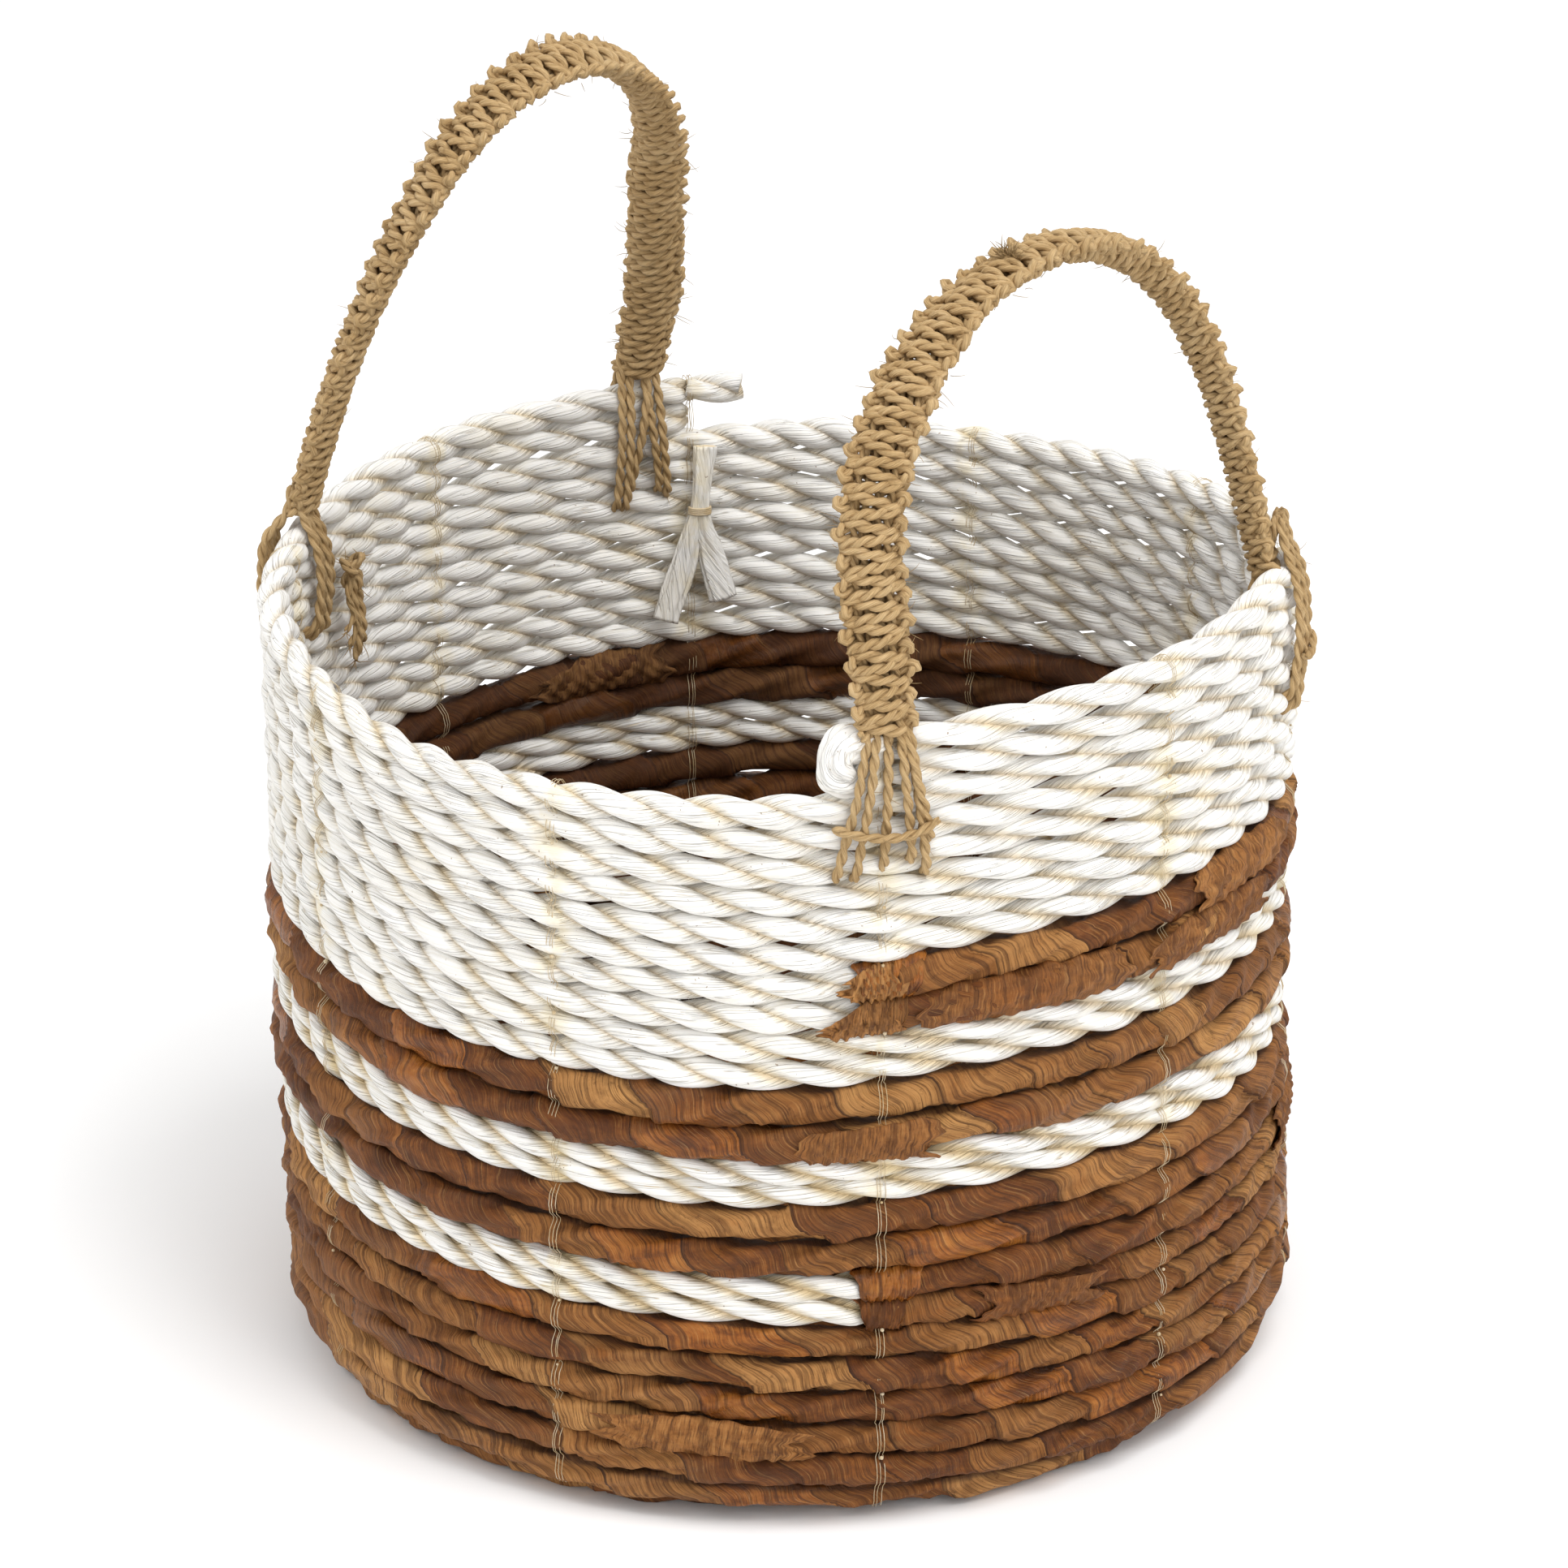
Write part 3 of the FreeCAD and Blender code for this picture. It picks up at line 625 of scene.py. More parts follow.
def wrapLeaf(mesh, line, radius, sides, seed, edgeScale=1.0):
    # Push the tube's rings out into overlapping strips, and note each place's strip in a UV map.
    rings = len(line["along"])
    along = line["along"]
    count = rings * sides
    co = np.empty(len(mesh.vertices) * 3)
    mesh.vertices.foreach_get("co", co)
    co = co.reshape(-1, 3)
    ring = co[:count].reshape(rings, sides, 3)
    centre = line["place"][:, None, :]
    spoke = ring - centre
    spoke /= np.linalg.norm(spoke, axis=2, keepdims=True)
    about = np.arctan2((spoke * line["out"][:, None, :]).sum(2), (spoke * line["rim"][:, None, :]).sum(2))
    around = (about / (2 * math.pi)) % 1.0
    rng = np.random.default_rng(seed + 21)
    pace = 1 + 0.45 * waviness(seed + 3, along, 0.11)
    base = 8 + np.cumsum(pace * np.gradient(along)) / barkRope["wrapLength"] + seed % 7
    phase = base[:, None] + barkRope["slant"] * around
    phase = phase + 0.05 * np.sin(4 * math.pi * around + base[:, None] * 5)
    swell = rng.uniform(-1, 1, int(phase.max()) + 8)
    lift = rng.uniform(0.35, 1.5, int(phase.max()) + 8)
    index = np.floor(phase).astype(int)
    share = phase - index
    step = barkRope["edge"] * edgeScale * lift[index] * (1 - share) ** 0.8
    reach = along[:, None]
    lump = 0.0005 * np.sin(7.3 * phase + 5 * about + seed) + 0.0004 * np.sin(4.2 * about + reach * 240 + seed)
    lump = lump + 0.0003 * np.sin(about * 3 + reach * 610 + 2 * np.sin(reach * 170)) * swell[index]
    ridge = 0.00030 * np.sin(phase * 29 + 2 * np.sin(about * 2 + seed)) * swell[index]
    push = radius[:, None] + step - 0.0008 + 0.0007 * swell[index] * np.sin(math.pi * share) + lump + ridge
    ring = centre + spoke * push[:, :, None]
    co[:count] = ring.reshape(-1, 3)
    co[:, 2] = np.maximum(co[:, 2], 0.0002)
    mesh.vertices.foreach_set("co", co.ravel())
    layer = mesh.uv_layers.new(name="leaf")
    corner = np.empty(len(mesh.loops), int)
    mesh.loops.foreach_get("vertex_index", corner)
    phaseAll = np.zeros(len(mesh.vertices))
    phaseAll[:count] = phase.ravel()
    aroundAll = np.zeros(len(mesh.vertices))
    aroundAll[:count] = around.ravel()
    cornerPhase = phaseAll[corner]
    cornerAround = aroundAll[corner]
    quads = (rings - 1) * sides * 4
    quadAround = cornerAround[:quads].reshape(-1, 4)
    seam = (quadAround.max(1) - quadAround.min(1)) > 0.5
    fix = seam[:, None] & (quadAround < 0.5)
    cornerAround[:quads] = (quadAround + fix).ravel()
    cornerPhase[:quads] = (cornerPhase[:quads].reshape(-1, 4) + barkRope["slant"] * fix).ravel()
    layer.data.foreach_set("uv", np.stack([cornerPhase, cornerAround], 1).ravel())
    mesh.update()


def addBarkRope(name, pair, rope, first, last, seed, sides, step, nodes):
    line = ropeLine(pair, rope, first, last, step, seed)
    along = line["along"]
    radius = line["height"] * 0.49 * (1 + 0.07 * waviness(seed + 31, along, 0.05))
    mesh = makeTubes(name, [line["place"]], [radius], sides)
    wrapLeaf(mesh, line, radius, sides, seed)
    return addPiece(name, mesh, barkFinish, "root", nodes)


ropePairs = (("a", basket["whiteTurnsA"]), ("b", basket["whiteTurnsB"]))
seed = 100
for pair, whiteTurns in ropePairs:
    change = fullTurn * whiteTurns
    for rope in (1, 2):
        suffix = "%s%d" % (pair, rope)
        seed += 40
        addWhiteRope("white_rope_" + suffix, pair, rope, 0.5, change - 0.6, seed, ["white_rope_" + suffix])
        flat = turnWhere(pair, 0.0)
        last = turnWhere(pair, lastRise)
        addBarkRope("bark_rope_" + suffix, pair, rope, change + 0.6, flat, seed + 5,
                    barkRope["sides"], barkRope["step"], ["bark_rope_" + suffix])
        addBarkRope("base_rope_" + suffix, pair, rope, flat, last, seed + 9,
                    barkRope["baseSides"], barkRope["baseStep"], ["base_rope_" + suffix])
print("ropes made")


def rimAt(phi):
    # top of the uppermost rope, before the wall is shaped
    turn = (phi - basket["startA"]) % 180
    pair = "a" if (phi - basket["startA"]) % fullTurn < 180 else "b"
    rise = float(np.interp(turn, turnGrid, pairRise[pair]))
    return basket["baseHeight"] + basket["cornerRadius"] - cornerArc + rise + basket["whiteRow"]


def wallSpot(phi, out, height, across=0.0):
    turned = phi + math.degrees(across / wallCentre)
    radius, z = shapeWall(turned, wallCentre + out, height)
    angle = math.radians(turned)
    return Vector((radius * math.sin(angle), -radius * math.cos(angle), z))


def smoothLine(points, spacing):
    # even points along a smooth curve through the given ones
    curve = bpy.data.curves.new("guide", "CURVE")
    curve.dimensions = "3D"
    curve.resolution_u = 16
    spline = curve.splines.new("BEZIER")
    spline.bezier_points.add(len(points) - 1)
    for knot, point in zip(spline.bezier_points, points):
        knot.co = point
        knot.handle_left_type = "AUTO"
        knot.handle_right_type = "AUTO"
    holder = bpy.data.objects.new("guide", curve)
    mesh = bpy.data.meshes.new_from_object(holder)
    co = np.empty(len(mesh.vertices) * 3)
    mesh.vertices.foreach_get("co", co)
    co = co.reshape(-1, 3)
    bpy.data.objects.remove(holder)
    bpy.data.curves.remove(curve)
    bpy.data.meshes.remove(mesh)
    return evenPoints(co, spacing)


def evenPoints(co, spacing):
    travelled = np.concatenate([[0], np.cumsum(np.linalg.norm(np.diff(co, axis=0), axis=1))])
    count = max(4, int(round(travelled[-1] / spacing)) + 1)
    along = np.linspace(0, travelled[-1], count)
    return np.stack([np.interp(along, travelled, co[:, axis]) for axis in range(3)], 1)


def crossFrame(path):
    # two directions square to the path that turn as little as they can
    tangent = np.gradient(path, axis=0)
    tangent /= np.linalg.norm(tangent, axis=1, keepdims=True)
    side = np.cross(tangent[0], (0.31, 0.52, 0.79))
    sides = []
    for direction in tangent:
        side = side - direction * side.dot(direction)
        side = side / np.linalg.norm(side)
        sides.append(side)
    sides = np.array(sides)
    return sides, np.cross(tangent, sides)


def twoPly(path, plyRadius, twistLength, start=0.0, rounded=True):
    # paths and radii of the two plies of a twisted cord
    sides, ups = crossFrame(path)
    along = np.concatenate([[0], np.cumsum(np.linalg.norm(np.diff(path, axis=0), axis=1))])
    paths = []
    radii = []
    for ply in (0, 1):
        twist = start - 2 * math.pi * along / twistLength + ply * math.pi
        spoke = sides * np.cos(twist)[:, None] + ups * np.sin(twist)[:, None]
        paths.append(path + 0.82 * plyRadius * spoke)
        radius = np.full(len(path), plyRadius)
        if rounded:
            radius[0] *= 0.4
            radius[-1] *= 0.4
        radii.append(radius)
    return paths, radii


cord = {
    "plyRadius": 0.00098,
    "twistLength": 0.0115,
    "step": 0.0012,
    "sides": 6,
}


def cordTubes(name, lines, plyScale=1.0):
    paths = []
    radii = []
    for number, line in enumerate(lines):
        made = twoPly(evenPoints(np.array(line), cord["step"]), cord["plyRadius"] * plyScale,
                      cord["twistLength"], number * 1.7)
        paths += made[0]
        radii += made[1]
    return makeTubes(name, paths, radii, cord["sides"], "MINIMUM")


def addHairs(paths, radii, spots, seed, length, radius=0.00011):
    # loose fibres that stand out from a cord
    rng = np.random.default_rng(seed)
    for spot, away in spots:
        size = rng.uniform(0.4, 1.0) * length
        bend = rng.normal(0, 0.45, 3)
        points = [spot]
        direction = away / np.linalg.norm(away)
        for k in range(4):
            direction = direction + bend * 0.35
            direction /= np.linalg.norm(direction)
            points.append(points[-1] + direction * size / 4)
        paths.append(np.array(points))
        radii.append(np.array([1.0, 1.0, 0.9, 0.7, 0.3]) * radius)


handles = {
    "right": {
        "facing": 1,
        "lean": 10.0,
        "line": ((-0.1010, 0.000), (-0.0990, 0.040), (-0.0945, 0.073), (-0.0790, 0.099), (-0.0500, 0.122),
                 (-0.0120, 0.134), (0.0220, 0.132), (0.0520, 0.114), (0.0715, 0.083), (0.0810, 0.050),
                 (0.0900, 0.001)),
        "width": ((0.0, 0.86), (0.06, 1.0), (0.9, 1.0), (1.0, 0.86)),
        "twist": ((0.0, -57), (0.22, -42), (0.42, -6), (0.62, 0), (0.84, -28), (1.0, -45)),
        "halfKnot": 0.0041,
        "seed": 11,
    },
    "left": {
        "facing": -1,
        "lean": 20.0,
        "line": ((-0.0830, -0.004), (-0.0815, 0.045), (-0.0765, 0.079), (-0.0640, 0.117), (-0.0460, 0.146),
                 (-0.0240, 0.161), (0.0030, 0.162), (0.0340, 0.144), (0.0500, 0.123), (0.0650, 0.080),
                 (0.0780, 0.040), (0.0830, 0.003)),
        "width": ((0.0, 0.80), (0.16, 0.84), (0.32, 0.90), (0.5, 0.92), (0.9, 0.90), (1.0, 0.80)),
        "twist": ((0.0, -60), (0.16, -52), (0.34, -20), (0.5, 0), (0.66, -10), (0.84, -40), (1.0, -55)),
        "halfKnot": 0.0041,
        "seed": 12,
    },
}
knotting = {
    "planeHeight": 0.290,     # height that the arches' own heights are measured from
    "frontReach": 0.0096,     # zigzag cord, to each side
    "loopReach": 0.0109,      # the cord that loops round it at the edges
    "lift": 0.0036,           # crossings above the filler cords
    "fillers": (-0.0054, -0.0018, 0.0018, 0.0054),
}
jointPlace = {joint["name"]: joint["pos_m"] for joint in frame["joints"]}


def addHandle(side):
    shape = handles[side]
    lean = math.radians(shape["lean"])
    facing = shape["facing"]
    hinge = jointPlace[side + "_handle_tip"]
    up = Vector((-facing * math.sin(lean), 0, math.cos(lean)))
    outwards = np.array((facing * math.cos(lean), 0, math.sin(lean)))
    foot = Vector((hinge[0], 0, knotting["planeHeight"]))
    points = [foot + Vector((0, y, 0)) + up * rise for y, rise in shape["line"]]
    centre = smoothLine(points, 0.0010)
    tangent = np.gradient(centre, axis=0)
    tangent /= np.linalg.norm(tangent, axis=1, keepdims=True)
    away = np.cross(tangent, outwards) * facing
    middle = centre.mean(0)
    away *= np.sign(((centre - middle) * away).sum(1).mean())
    length = 0.0010 * (len(centre) - 1)
    halfKnots = int(length / shape["halfKnot"])
    stops = np.array(shape["width"])
    rng = np.random.default_rng(shape["seed"])
    perKnot = 16
    p = np.arange(0, halfKnots * perKnot + 1) / perKnot
    travelled = p / halfKnots * length
    wobble = waviness(shape["seed"], p + 0.001, 1.0)
    wobble2 = waviness(shape["seed"] + 1, p + 0.001, 1.3)
    travelled = np.clip(travelled + 0.0005 * wobble, 0, length)
    at = travelled / 0.0010

    def along(values):
        return np.stack([np.interp(at, np.arange(len(values)), values[:, axis]) for axis in range(3)], 1)

    base = along(centre)
    turns = np.array(shape["twist"])
    twisted = np.radians(np.interp(travelled / length, turns[:, 0], turns[:, 1]))[:, None]
    plainAway = along(away)
    awayAt = plainAway * np.cos(twisted) - outwards * np.sin(twisted)
    outAt = outwards * np.cos(twisted) + plainAway * np.sin(twisted)
    widthAt = np.interp(travelled / length, stops[:, 0], stops[:, 1])
    zigzag = 2 / math.pi * np.arcsin(0.94 * np.cos(math.pi * p)) / 0.778
    crossing = np.sin(math.pi * p) ** 2
    loop = np.exp(-((p - np.round(p)) / 0.17) ** 2)
    frontAcross = knotting["frontReach"] * zigzag * widthAt * (1 + 0.05 * wobble2)
    frontLift = 0.0006 + knotting["lift"] * crossing
    backAcross = -knotting["loopReach"] * zigzag * widthAt * (1 + 0.07 * wobble)
    backLift = -knotting["lift"] * crossing + 0.0034 * loop
    slide = tangentSlide(along(tangent), p)
    front = base + outAt * frontAcross[:, None] + awayAt * frontLift[:, None]
    back = base + outAt * backAcross[:, None] + awayAt * backLift[:, None] + slide
    lines = [front, back]
    for across in knotting["fillers"]:
        wander = 0.0004 * waviness(int((across + 0.01) * 1e5), p + 0.001, 3.0)
        lines.append(base + outAt * (across * widthAt + wander)[:, None])
    paths = []
    radii = []
    for number, line in enumerate(lines):
        ply = cord["plyRadius"] * (1.25 if number < 2 else 1.05)
        made = twoPly(evenPoints(line, cord["step"]), ply, cord["twistLength"], number * 1.1)
        paths += made[0]
        radii += made[1]
    spots = []
    for k in range(120):
        i = rng.integers(0, len(base) - 1)
        edge = rng.choice((-1, 1))
        spot = base[i] + outAt[i] * edge * 0.0105 * widthAt[i] + awayAt[i] * rng.uniform(-0.003, 0.003)
        spots.append((spot, outAt[i] * edge + awayAt[i] * rng.normal(0, 0.8) + rng.normal(0, 0.4, 3)))
    addHairs(paths, radii, spots, shape["seed"], 0.0075)
    if side == "right":
        tuft = int(len(base) * 0.475)
        spots = [(base[tuft] + awayAt[tuft] * 0.004 + outwards * rng.normal(0, 0.002),
                  awayAt[tuft] + rng.normal(0, 0.5, 3)) for k in range(60)]
        addHairs(paths, radii, spots, 5, 0.0085, 0.00022)
    mesh = makeTubes(side + "_knotting", paths, radii, cord["sides"], "MINIMUM")
    piece = addPiece(side + "_knotting", mesh, cordFinish, None)
    end = (hinge[0] - facing * 0.035 * math.sin(lean), 0, hinge[2] + 0.026)
    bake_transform(piece)
    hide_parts(side + "_strap", side + "_core")
    return piece


def tangentSlide(tangent, p):
    # each loop leans along the handle where it goes round the other cord
    return tangent * (0.0010 * np.sin(2 * math.pi * p))[:, None]


for side in handles:
    addHandle(side)
print("handles made")

# Leg cords: where each leg stands, how far its cords hang, and where they go into the wall.
# Every cord is (millimetres across at the top, millimetres across at the bottom, drop).
legs = {
    "right_front": {
        "phi": 55.2,
        "outside": ((-5.5, -17, 50), (-3.5, -11, 50), (-0.5, -2, 47),
                    (2.5, 7, 45), (5.5, 12, 50), (4.0, 13, 38)),
        "inside": ((-5, -9, 34), (-1.5, -3, 40), (2, 4, 40), (5, 9, 36)),
    },
    "right_back": {
        "phi": 122.6,
        "outside": ((-5.5, -9, 44), (-2, -3.5, 50), (1.5, 2.0, 50), (5, 6, 42)),
        "inside": ((-5, -8, 30), (-1.5, -3, 36), (2, 3, 36), (5, 8, 30)),
    },
    "left_front": {
        "phi": 299.4, "bulge": 0.0035,
        "outside": ((-5.5, -9, 44), (-2, -4, 50), (1.5, 2, 52), (5, 8, 44)),
        "inside": ((-5, -9, 34), (-1.5, -3, 40), (2, 3, 40), (5, 8, 36)),
    },
    "left_back": {
        "phi": 241.0,
        "outside": ((-5.5, -9, 44), (-2, -3, 48), (2, 3, 48), (5, 9, 44)),
        "inside": ((-6.5, -10.5, 42), (-4.0, 4.5, 40), (-2, -7.5, 40), (3.5, 6.0, 46), (6.5, 9.5, 46)),
    },
}


def addLeg(name):
    leg = legs[name]
    phi = leg["phi"]
    rim = rimAt(phi)
    lines = []
    for face, outwards in (("outside", 1), ("inside", -1)):
        for number, (top, bottom, drop) in enumerate(leg[face]):
            top, bottom, drop = top / 1000, bottom / 1000, drop / 1000
            reach = 0.0074 + 0.0007 * (number % 2) + leg.get("bulge", 0.0) * (outwards > 0)
            points = [
                wallSpot(phi, 0.0005 * outwards, rim + 0.016, top * 0.9),
                wallSpot(phi, 0.0028 * outwards, rim + 0.006, top),
                wallSpot(phi, (reach - 0.001) * outwards, rim - 0.004, top * 0.8 + bottom * 0.2),
                wallSpot(phi, (reach + 0.001) * outwards, rim - 0.4 * drop, top * 0.55 + bottom * 0.45),
                wallSpot(phi, (reach + 0.0002) * outwards, rim - 0.8 * drop, top * 0.15 + bottom * 0.85),
                wallSpot(phi, (reach - 0.0012) * outwards, rim - 0.97 * drop, bottom),
                wallSpot(phi, 0.001 * outwards, rim - drop - 0.002, bottom * 1.02),
            ]
            lines.append(smoothLine(points, cord["step"]))
    paths = []
    radii = []
    for number, line in enumerate(lines):
        made = twoPly(line, cord["plyRadius"] * 1.02, cord["twistLength"] * 1.1, number * 2.1)
        paths += made[0]
        radii += made[1]
    rng = np.random.default_rng(len(name) * 7)
    spots = []
    for k in range(26):
        line = lines[rng.integers(0, len(lines))]
        i = rng.integers(3, len(line) - 2)
        spots.append((line[i], rng.normal(0, 1, 3)))
    addHairs(paths, radii, spots, 31, 0.007)
    mesh = makeTubes("leg_cords_" + name, paths, radii, cord["sides"], "MINIMUM")
    return addPiece("leg_cords_" + name, mesh, cordFinish, "root", ["leg_cords_" + name])


for name in legs:
    addLeg(name)

# Short cords tied across the outside of the right handle's legs.
ties = {
    "right_front": ((-19, -30.5), (-9, -33.5), (1, -34.5), (8, -33.5), (15, -30.0)),
    "right_back": ((-10, -29), (-3, -31), (4, -31), (10, -28)),
}
for name, bends in ties.items():
    phi = legs[name]["phi"]
    rim = rimAt(phi)
    points = [wallSpot(phi, 0.0112 - 0.0000040 * across ** 2, rim + drop / 1000, across / 1000)
              for across, drop in bends]
    mesh = cordTubes("tie_" + name, [smoothLine(points, cord["step"])])
    addPiece("tie_" + name, mesh, cordFinish, "root", ["tie_" + name])


def bundleMesh(name, path, side, wide, thick, folds, seed, sides=40):
    # A flattened, pleated bundle of leaf along a path, with closed ends.
    tangent = np.gradient(path, axis=0)
    tangent /= np.linalg.norm(tangent, axis=1, keepdims=True)
    up = np.cross(tangent, side)
    up /= np.linalg.norm(up, axis=1, keepdims=True)
    across = np.cross(up, tangent)
    along = np.concatenate([[0], np.cumsum(np.linalg.norm(np.diff(path, axis=0), axis=1))])
    angle = np.linspace(0, 2 * math.pi, sides, endpoint=False)[None, :]
    reach = along[:, None]
    drift = 0.8 * np.sin(reach * 140 + seed) + 0.5 * np.sin(reach * 330 + 2 * seed)
    pleat = 0.5 * np.sin(folds * angle + drift) + 0.3 * np.sin((folds * 2 + 1) * angle - drift * 1.7 + seed)
    pleat = pleat + 0.2 * np.sin(3 * angle + reach * 210 + seed)
    grow = 1 + 0.22 * pleat
    place = path[:, None, :] + across[:, None, :] * (np.cos(angle) * grow * wide[:, None])[:, :, None]
    place = place + up[:, None, :] * (np.sin(angle) * grow * thick[:, None])[:, :, None]
    work = bmesh.new()
    rings = [[work.verts.new(co) for co in ring] for ring in place]
    strand = work.loops.layers.uv.new("strand")
    depth = work.loops.layers.uv.new("depth")
    for i in range(len(rings) - 1):
        for k in range(sides):
            after = (k + 1) % sides
            face = work.faces.new((rings[i][k], rings[i][after], rings[i + 1][after], rings[i + 1][k]))
            face.smooth = True
            for loop, (ring, turn) in zip(face.loops, ((i, k), (i, k + 1), (i + 1, k + 1), (i + 1, k))):
                loop[strand].uv = (along[ring], turn / sides)
                loop[depth].uv = (0.90 + 0.14 * pleat[ring][turn % sides], 0)
    for ring, centre in ((rings[0], path[0]), (rings[-1], path[-1])):
        middle = work.verts.new(centre)
        for k in range(sides):
            work.faces.new((ring[k], ring[(k + 1) % sides], middle))
    bmesh.ops.recalc_face_normals(work, faces=work.faces)
    mesh = bpy.data.meshes.new(name)
    work.to_mesh(mesh)
    work.free()
    return mesh


def joinMeshes(name, meshes):
    work = bmesh.new()
    for mesh in meshes:
        work.from_mesh(mesh)
    joined = bpy.data.meshes.new(name)
    work.to_mesh(joined)
    work.free()
    for mesh in meshes:
        bpy.data.meshes.remove(mesh)
    return joined


# One rope end is folded back and crumpled beside the right handle's front leg.
rimEnds = {
    "foldAt": 50.4,
    "foldWide": 0.0056,
    "foldThick": 0.0050,
    "stubLength": 6.0,       # degrees that the other pair's top rope goes past its start
}


def addRimEnds():
    phi = rimEnds["foldAt"]
    rim = rimAt(phi + 5)
    bends = ((4.6, -0.0050, 0.0), (2.4, -0.0046, 0.0006), (-0.4, -0.0050, 0.0016), (-1.6, -0.0110, 0.0022),
             (-0.2, -0.0170, 0.0014), (2.6, -0.0172, 0.0004), (4.6, -0.0160, 0.0))
    points = [wallSpot(phi + turn, out, rim + rise) for turn, rise, out in bends]
    path = smoothLine(points, 0.0011)
    spot = np.linspace(0, 1, len(path))
    side = np.tile(np.array(wallSpot(phi, 1.0, rim)) - np.array(wallSpot(phi, 0.0, rim)), (len(path), 1))
    puff = 1 + 0.22 * np.sin(spot * 9.0) + 0.12 * np.sin(spot * 23.0)
    fold = bundleMesh("fold", path, side, rimEnds["foldThick"] * puff, rimEnds["foldWide"] * puff, 5, 2.0, 48)
    bends = ((2.8, -0.001, 0.002), (0.6, -0.003, 0.004), (-0.6, -0.009, 0.0055), (0.8, -0.015, 0.005))
    points = [wallSpot(phi + turn, out, rim + rise) for turn, rise, out in bends]
    path = smoothLine(points, 0.0011)
    spot = np.linspace(0, 1, len(path))
    puff = 0.55 + 0.45 * np.sin(spot * math.pi)
    side = np.tile(side[0], (len(path), 1))
    flap = bundleMesh("flap", path, side, 0.0022 * puff, 0.0042 * puff, 4, 5.0, 32)
    mesh = joinMeshes("rim_end_a", [fold, flap])
    addPiece("rim_end_a", mesh, whiteFinish, "root", ["rim_end_a"])
    addWhiteRope("rim_end_b", "b", 1, -rimEnds["stubLength"], 0.7, 77, ["rim_end_b"], False)


addRimEnds()

# Two cut ends of rope hang inside, bound together near their tops.
hanging = {
    "phi": 233.6,
    "inwards": -0.0105,
    "top": 0.264,
    "bound": 0.2395,
    "tails": {"hanging_end_1": (-1.2, -2.6, 0.2045), "hanging_end_2": (1.2, 4.4, 0.1975)},
    "wide": 0.0046,
    "thick": 0.0015,
    "binding": 0.00045,
}


def addHangingEnds():
    for name, (sway, foot, bottom) in hanging["tails"].items():
        phi = hanging["phi"]
        inwards = hanging["inwards"]
        shift = 0.0012 * (1 if sway > 0 else -1)
        points = [wallSpot(phi - 0.9, inwards + 0.0012, hanging["top"], shift),
                  wallSpot(phi, inwards + 0.0002, hanging["bound"], shift),
                  wallSpot(phi + foot * 0.42, inwards, bottom * 0.5 + hanging["bound"] * 0.5, shift),
                  wallSpot(phi + foot, inwards - 0.0008, bottom, shift)]
        path = smoothLine(points, 0.0012)
        spot = np.interp(path[:, 2], (bottom, hanging["bound"], hanging["top"]), (1.0, 0.0, -0.6))
        flare = 0.46 + 0.54 * np.clip(spot * 1.7, 0, 1) ** 0.7
        wide = hanging["wide"] * np.where(spot > 0, flare, 0.46 - 0.3 * spot)
        thick = hanging["thick"] * (1.0 + 0.2 * np.cos(spot * 4))
        angle = math.radians(phi)
        side = np.tile((math.cos(angle), math.sin(angle), 0.0), (len(path), 1))
        mesh = bundleMesh(name, path, side, wide, thick, 6, 3.0 + foot, 44)
        addPiece(name, mesh, whiteFinish, "root", [name])
    turns = np.linspace(0, 2 * math.pi * 4, 120)
    middle = wallSpot(hanging["phi"], hanging["inwards"] + 0.0002, hanging["bound"])
    angle = math.radians(hanging["phi"])
    sideways = np.array((math.cos(angle), math.sin(angle), 0.0))
    outwards = np.array((math.sin(angle), -math.cos(angle), 0.0))
    path = np.array(middle) + np.outer(np.cos(turns) * 0.0040, sideways)
    path = path + np.outer(np.sin(turns) * 0.0026, outwards)
    path[:, 2] += (turns / turns[-1] - 0.5) * 0.0028
    mesh = makeTubes("hanging_end_binding", [path], [np.full(len(path), hanging["binding"])], 8, "MINIMUM")
    addPiece("hanging_end_binding", mesh, threadFinish, "root", ["hanging_end_binding"])


addHangingEnds()

# A frayed knot beside the left handle's front leg, with loose ends under it.
knot = {
    "phi": 292.6,
    "drop": 0.024,
    "inwards": -0.0115,
    "size": 0.0031,
    "tails": ((-0.004, -0.030), (0.001, -0.034), (0.005, -0.027), (0.008, -0.020)),
}


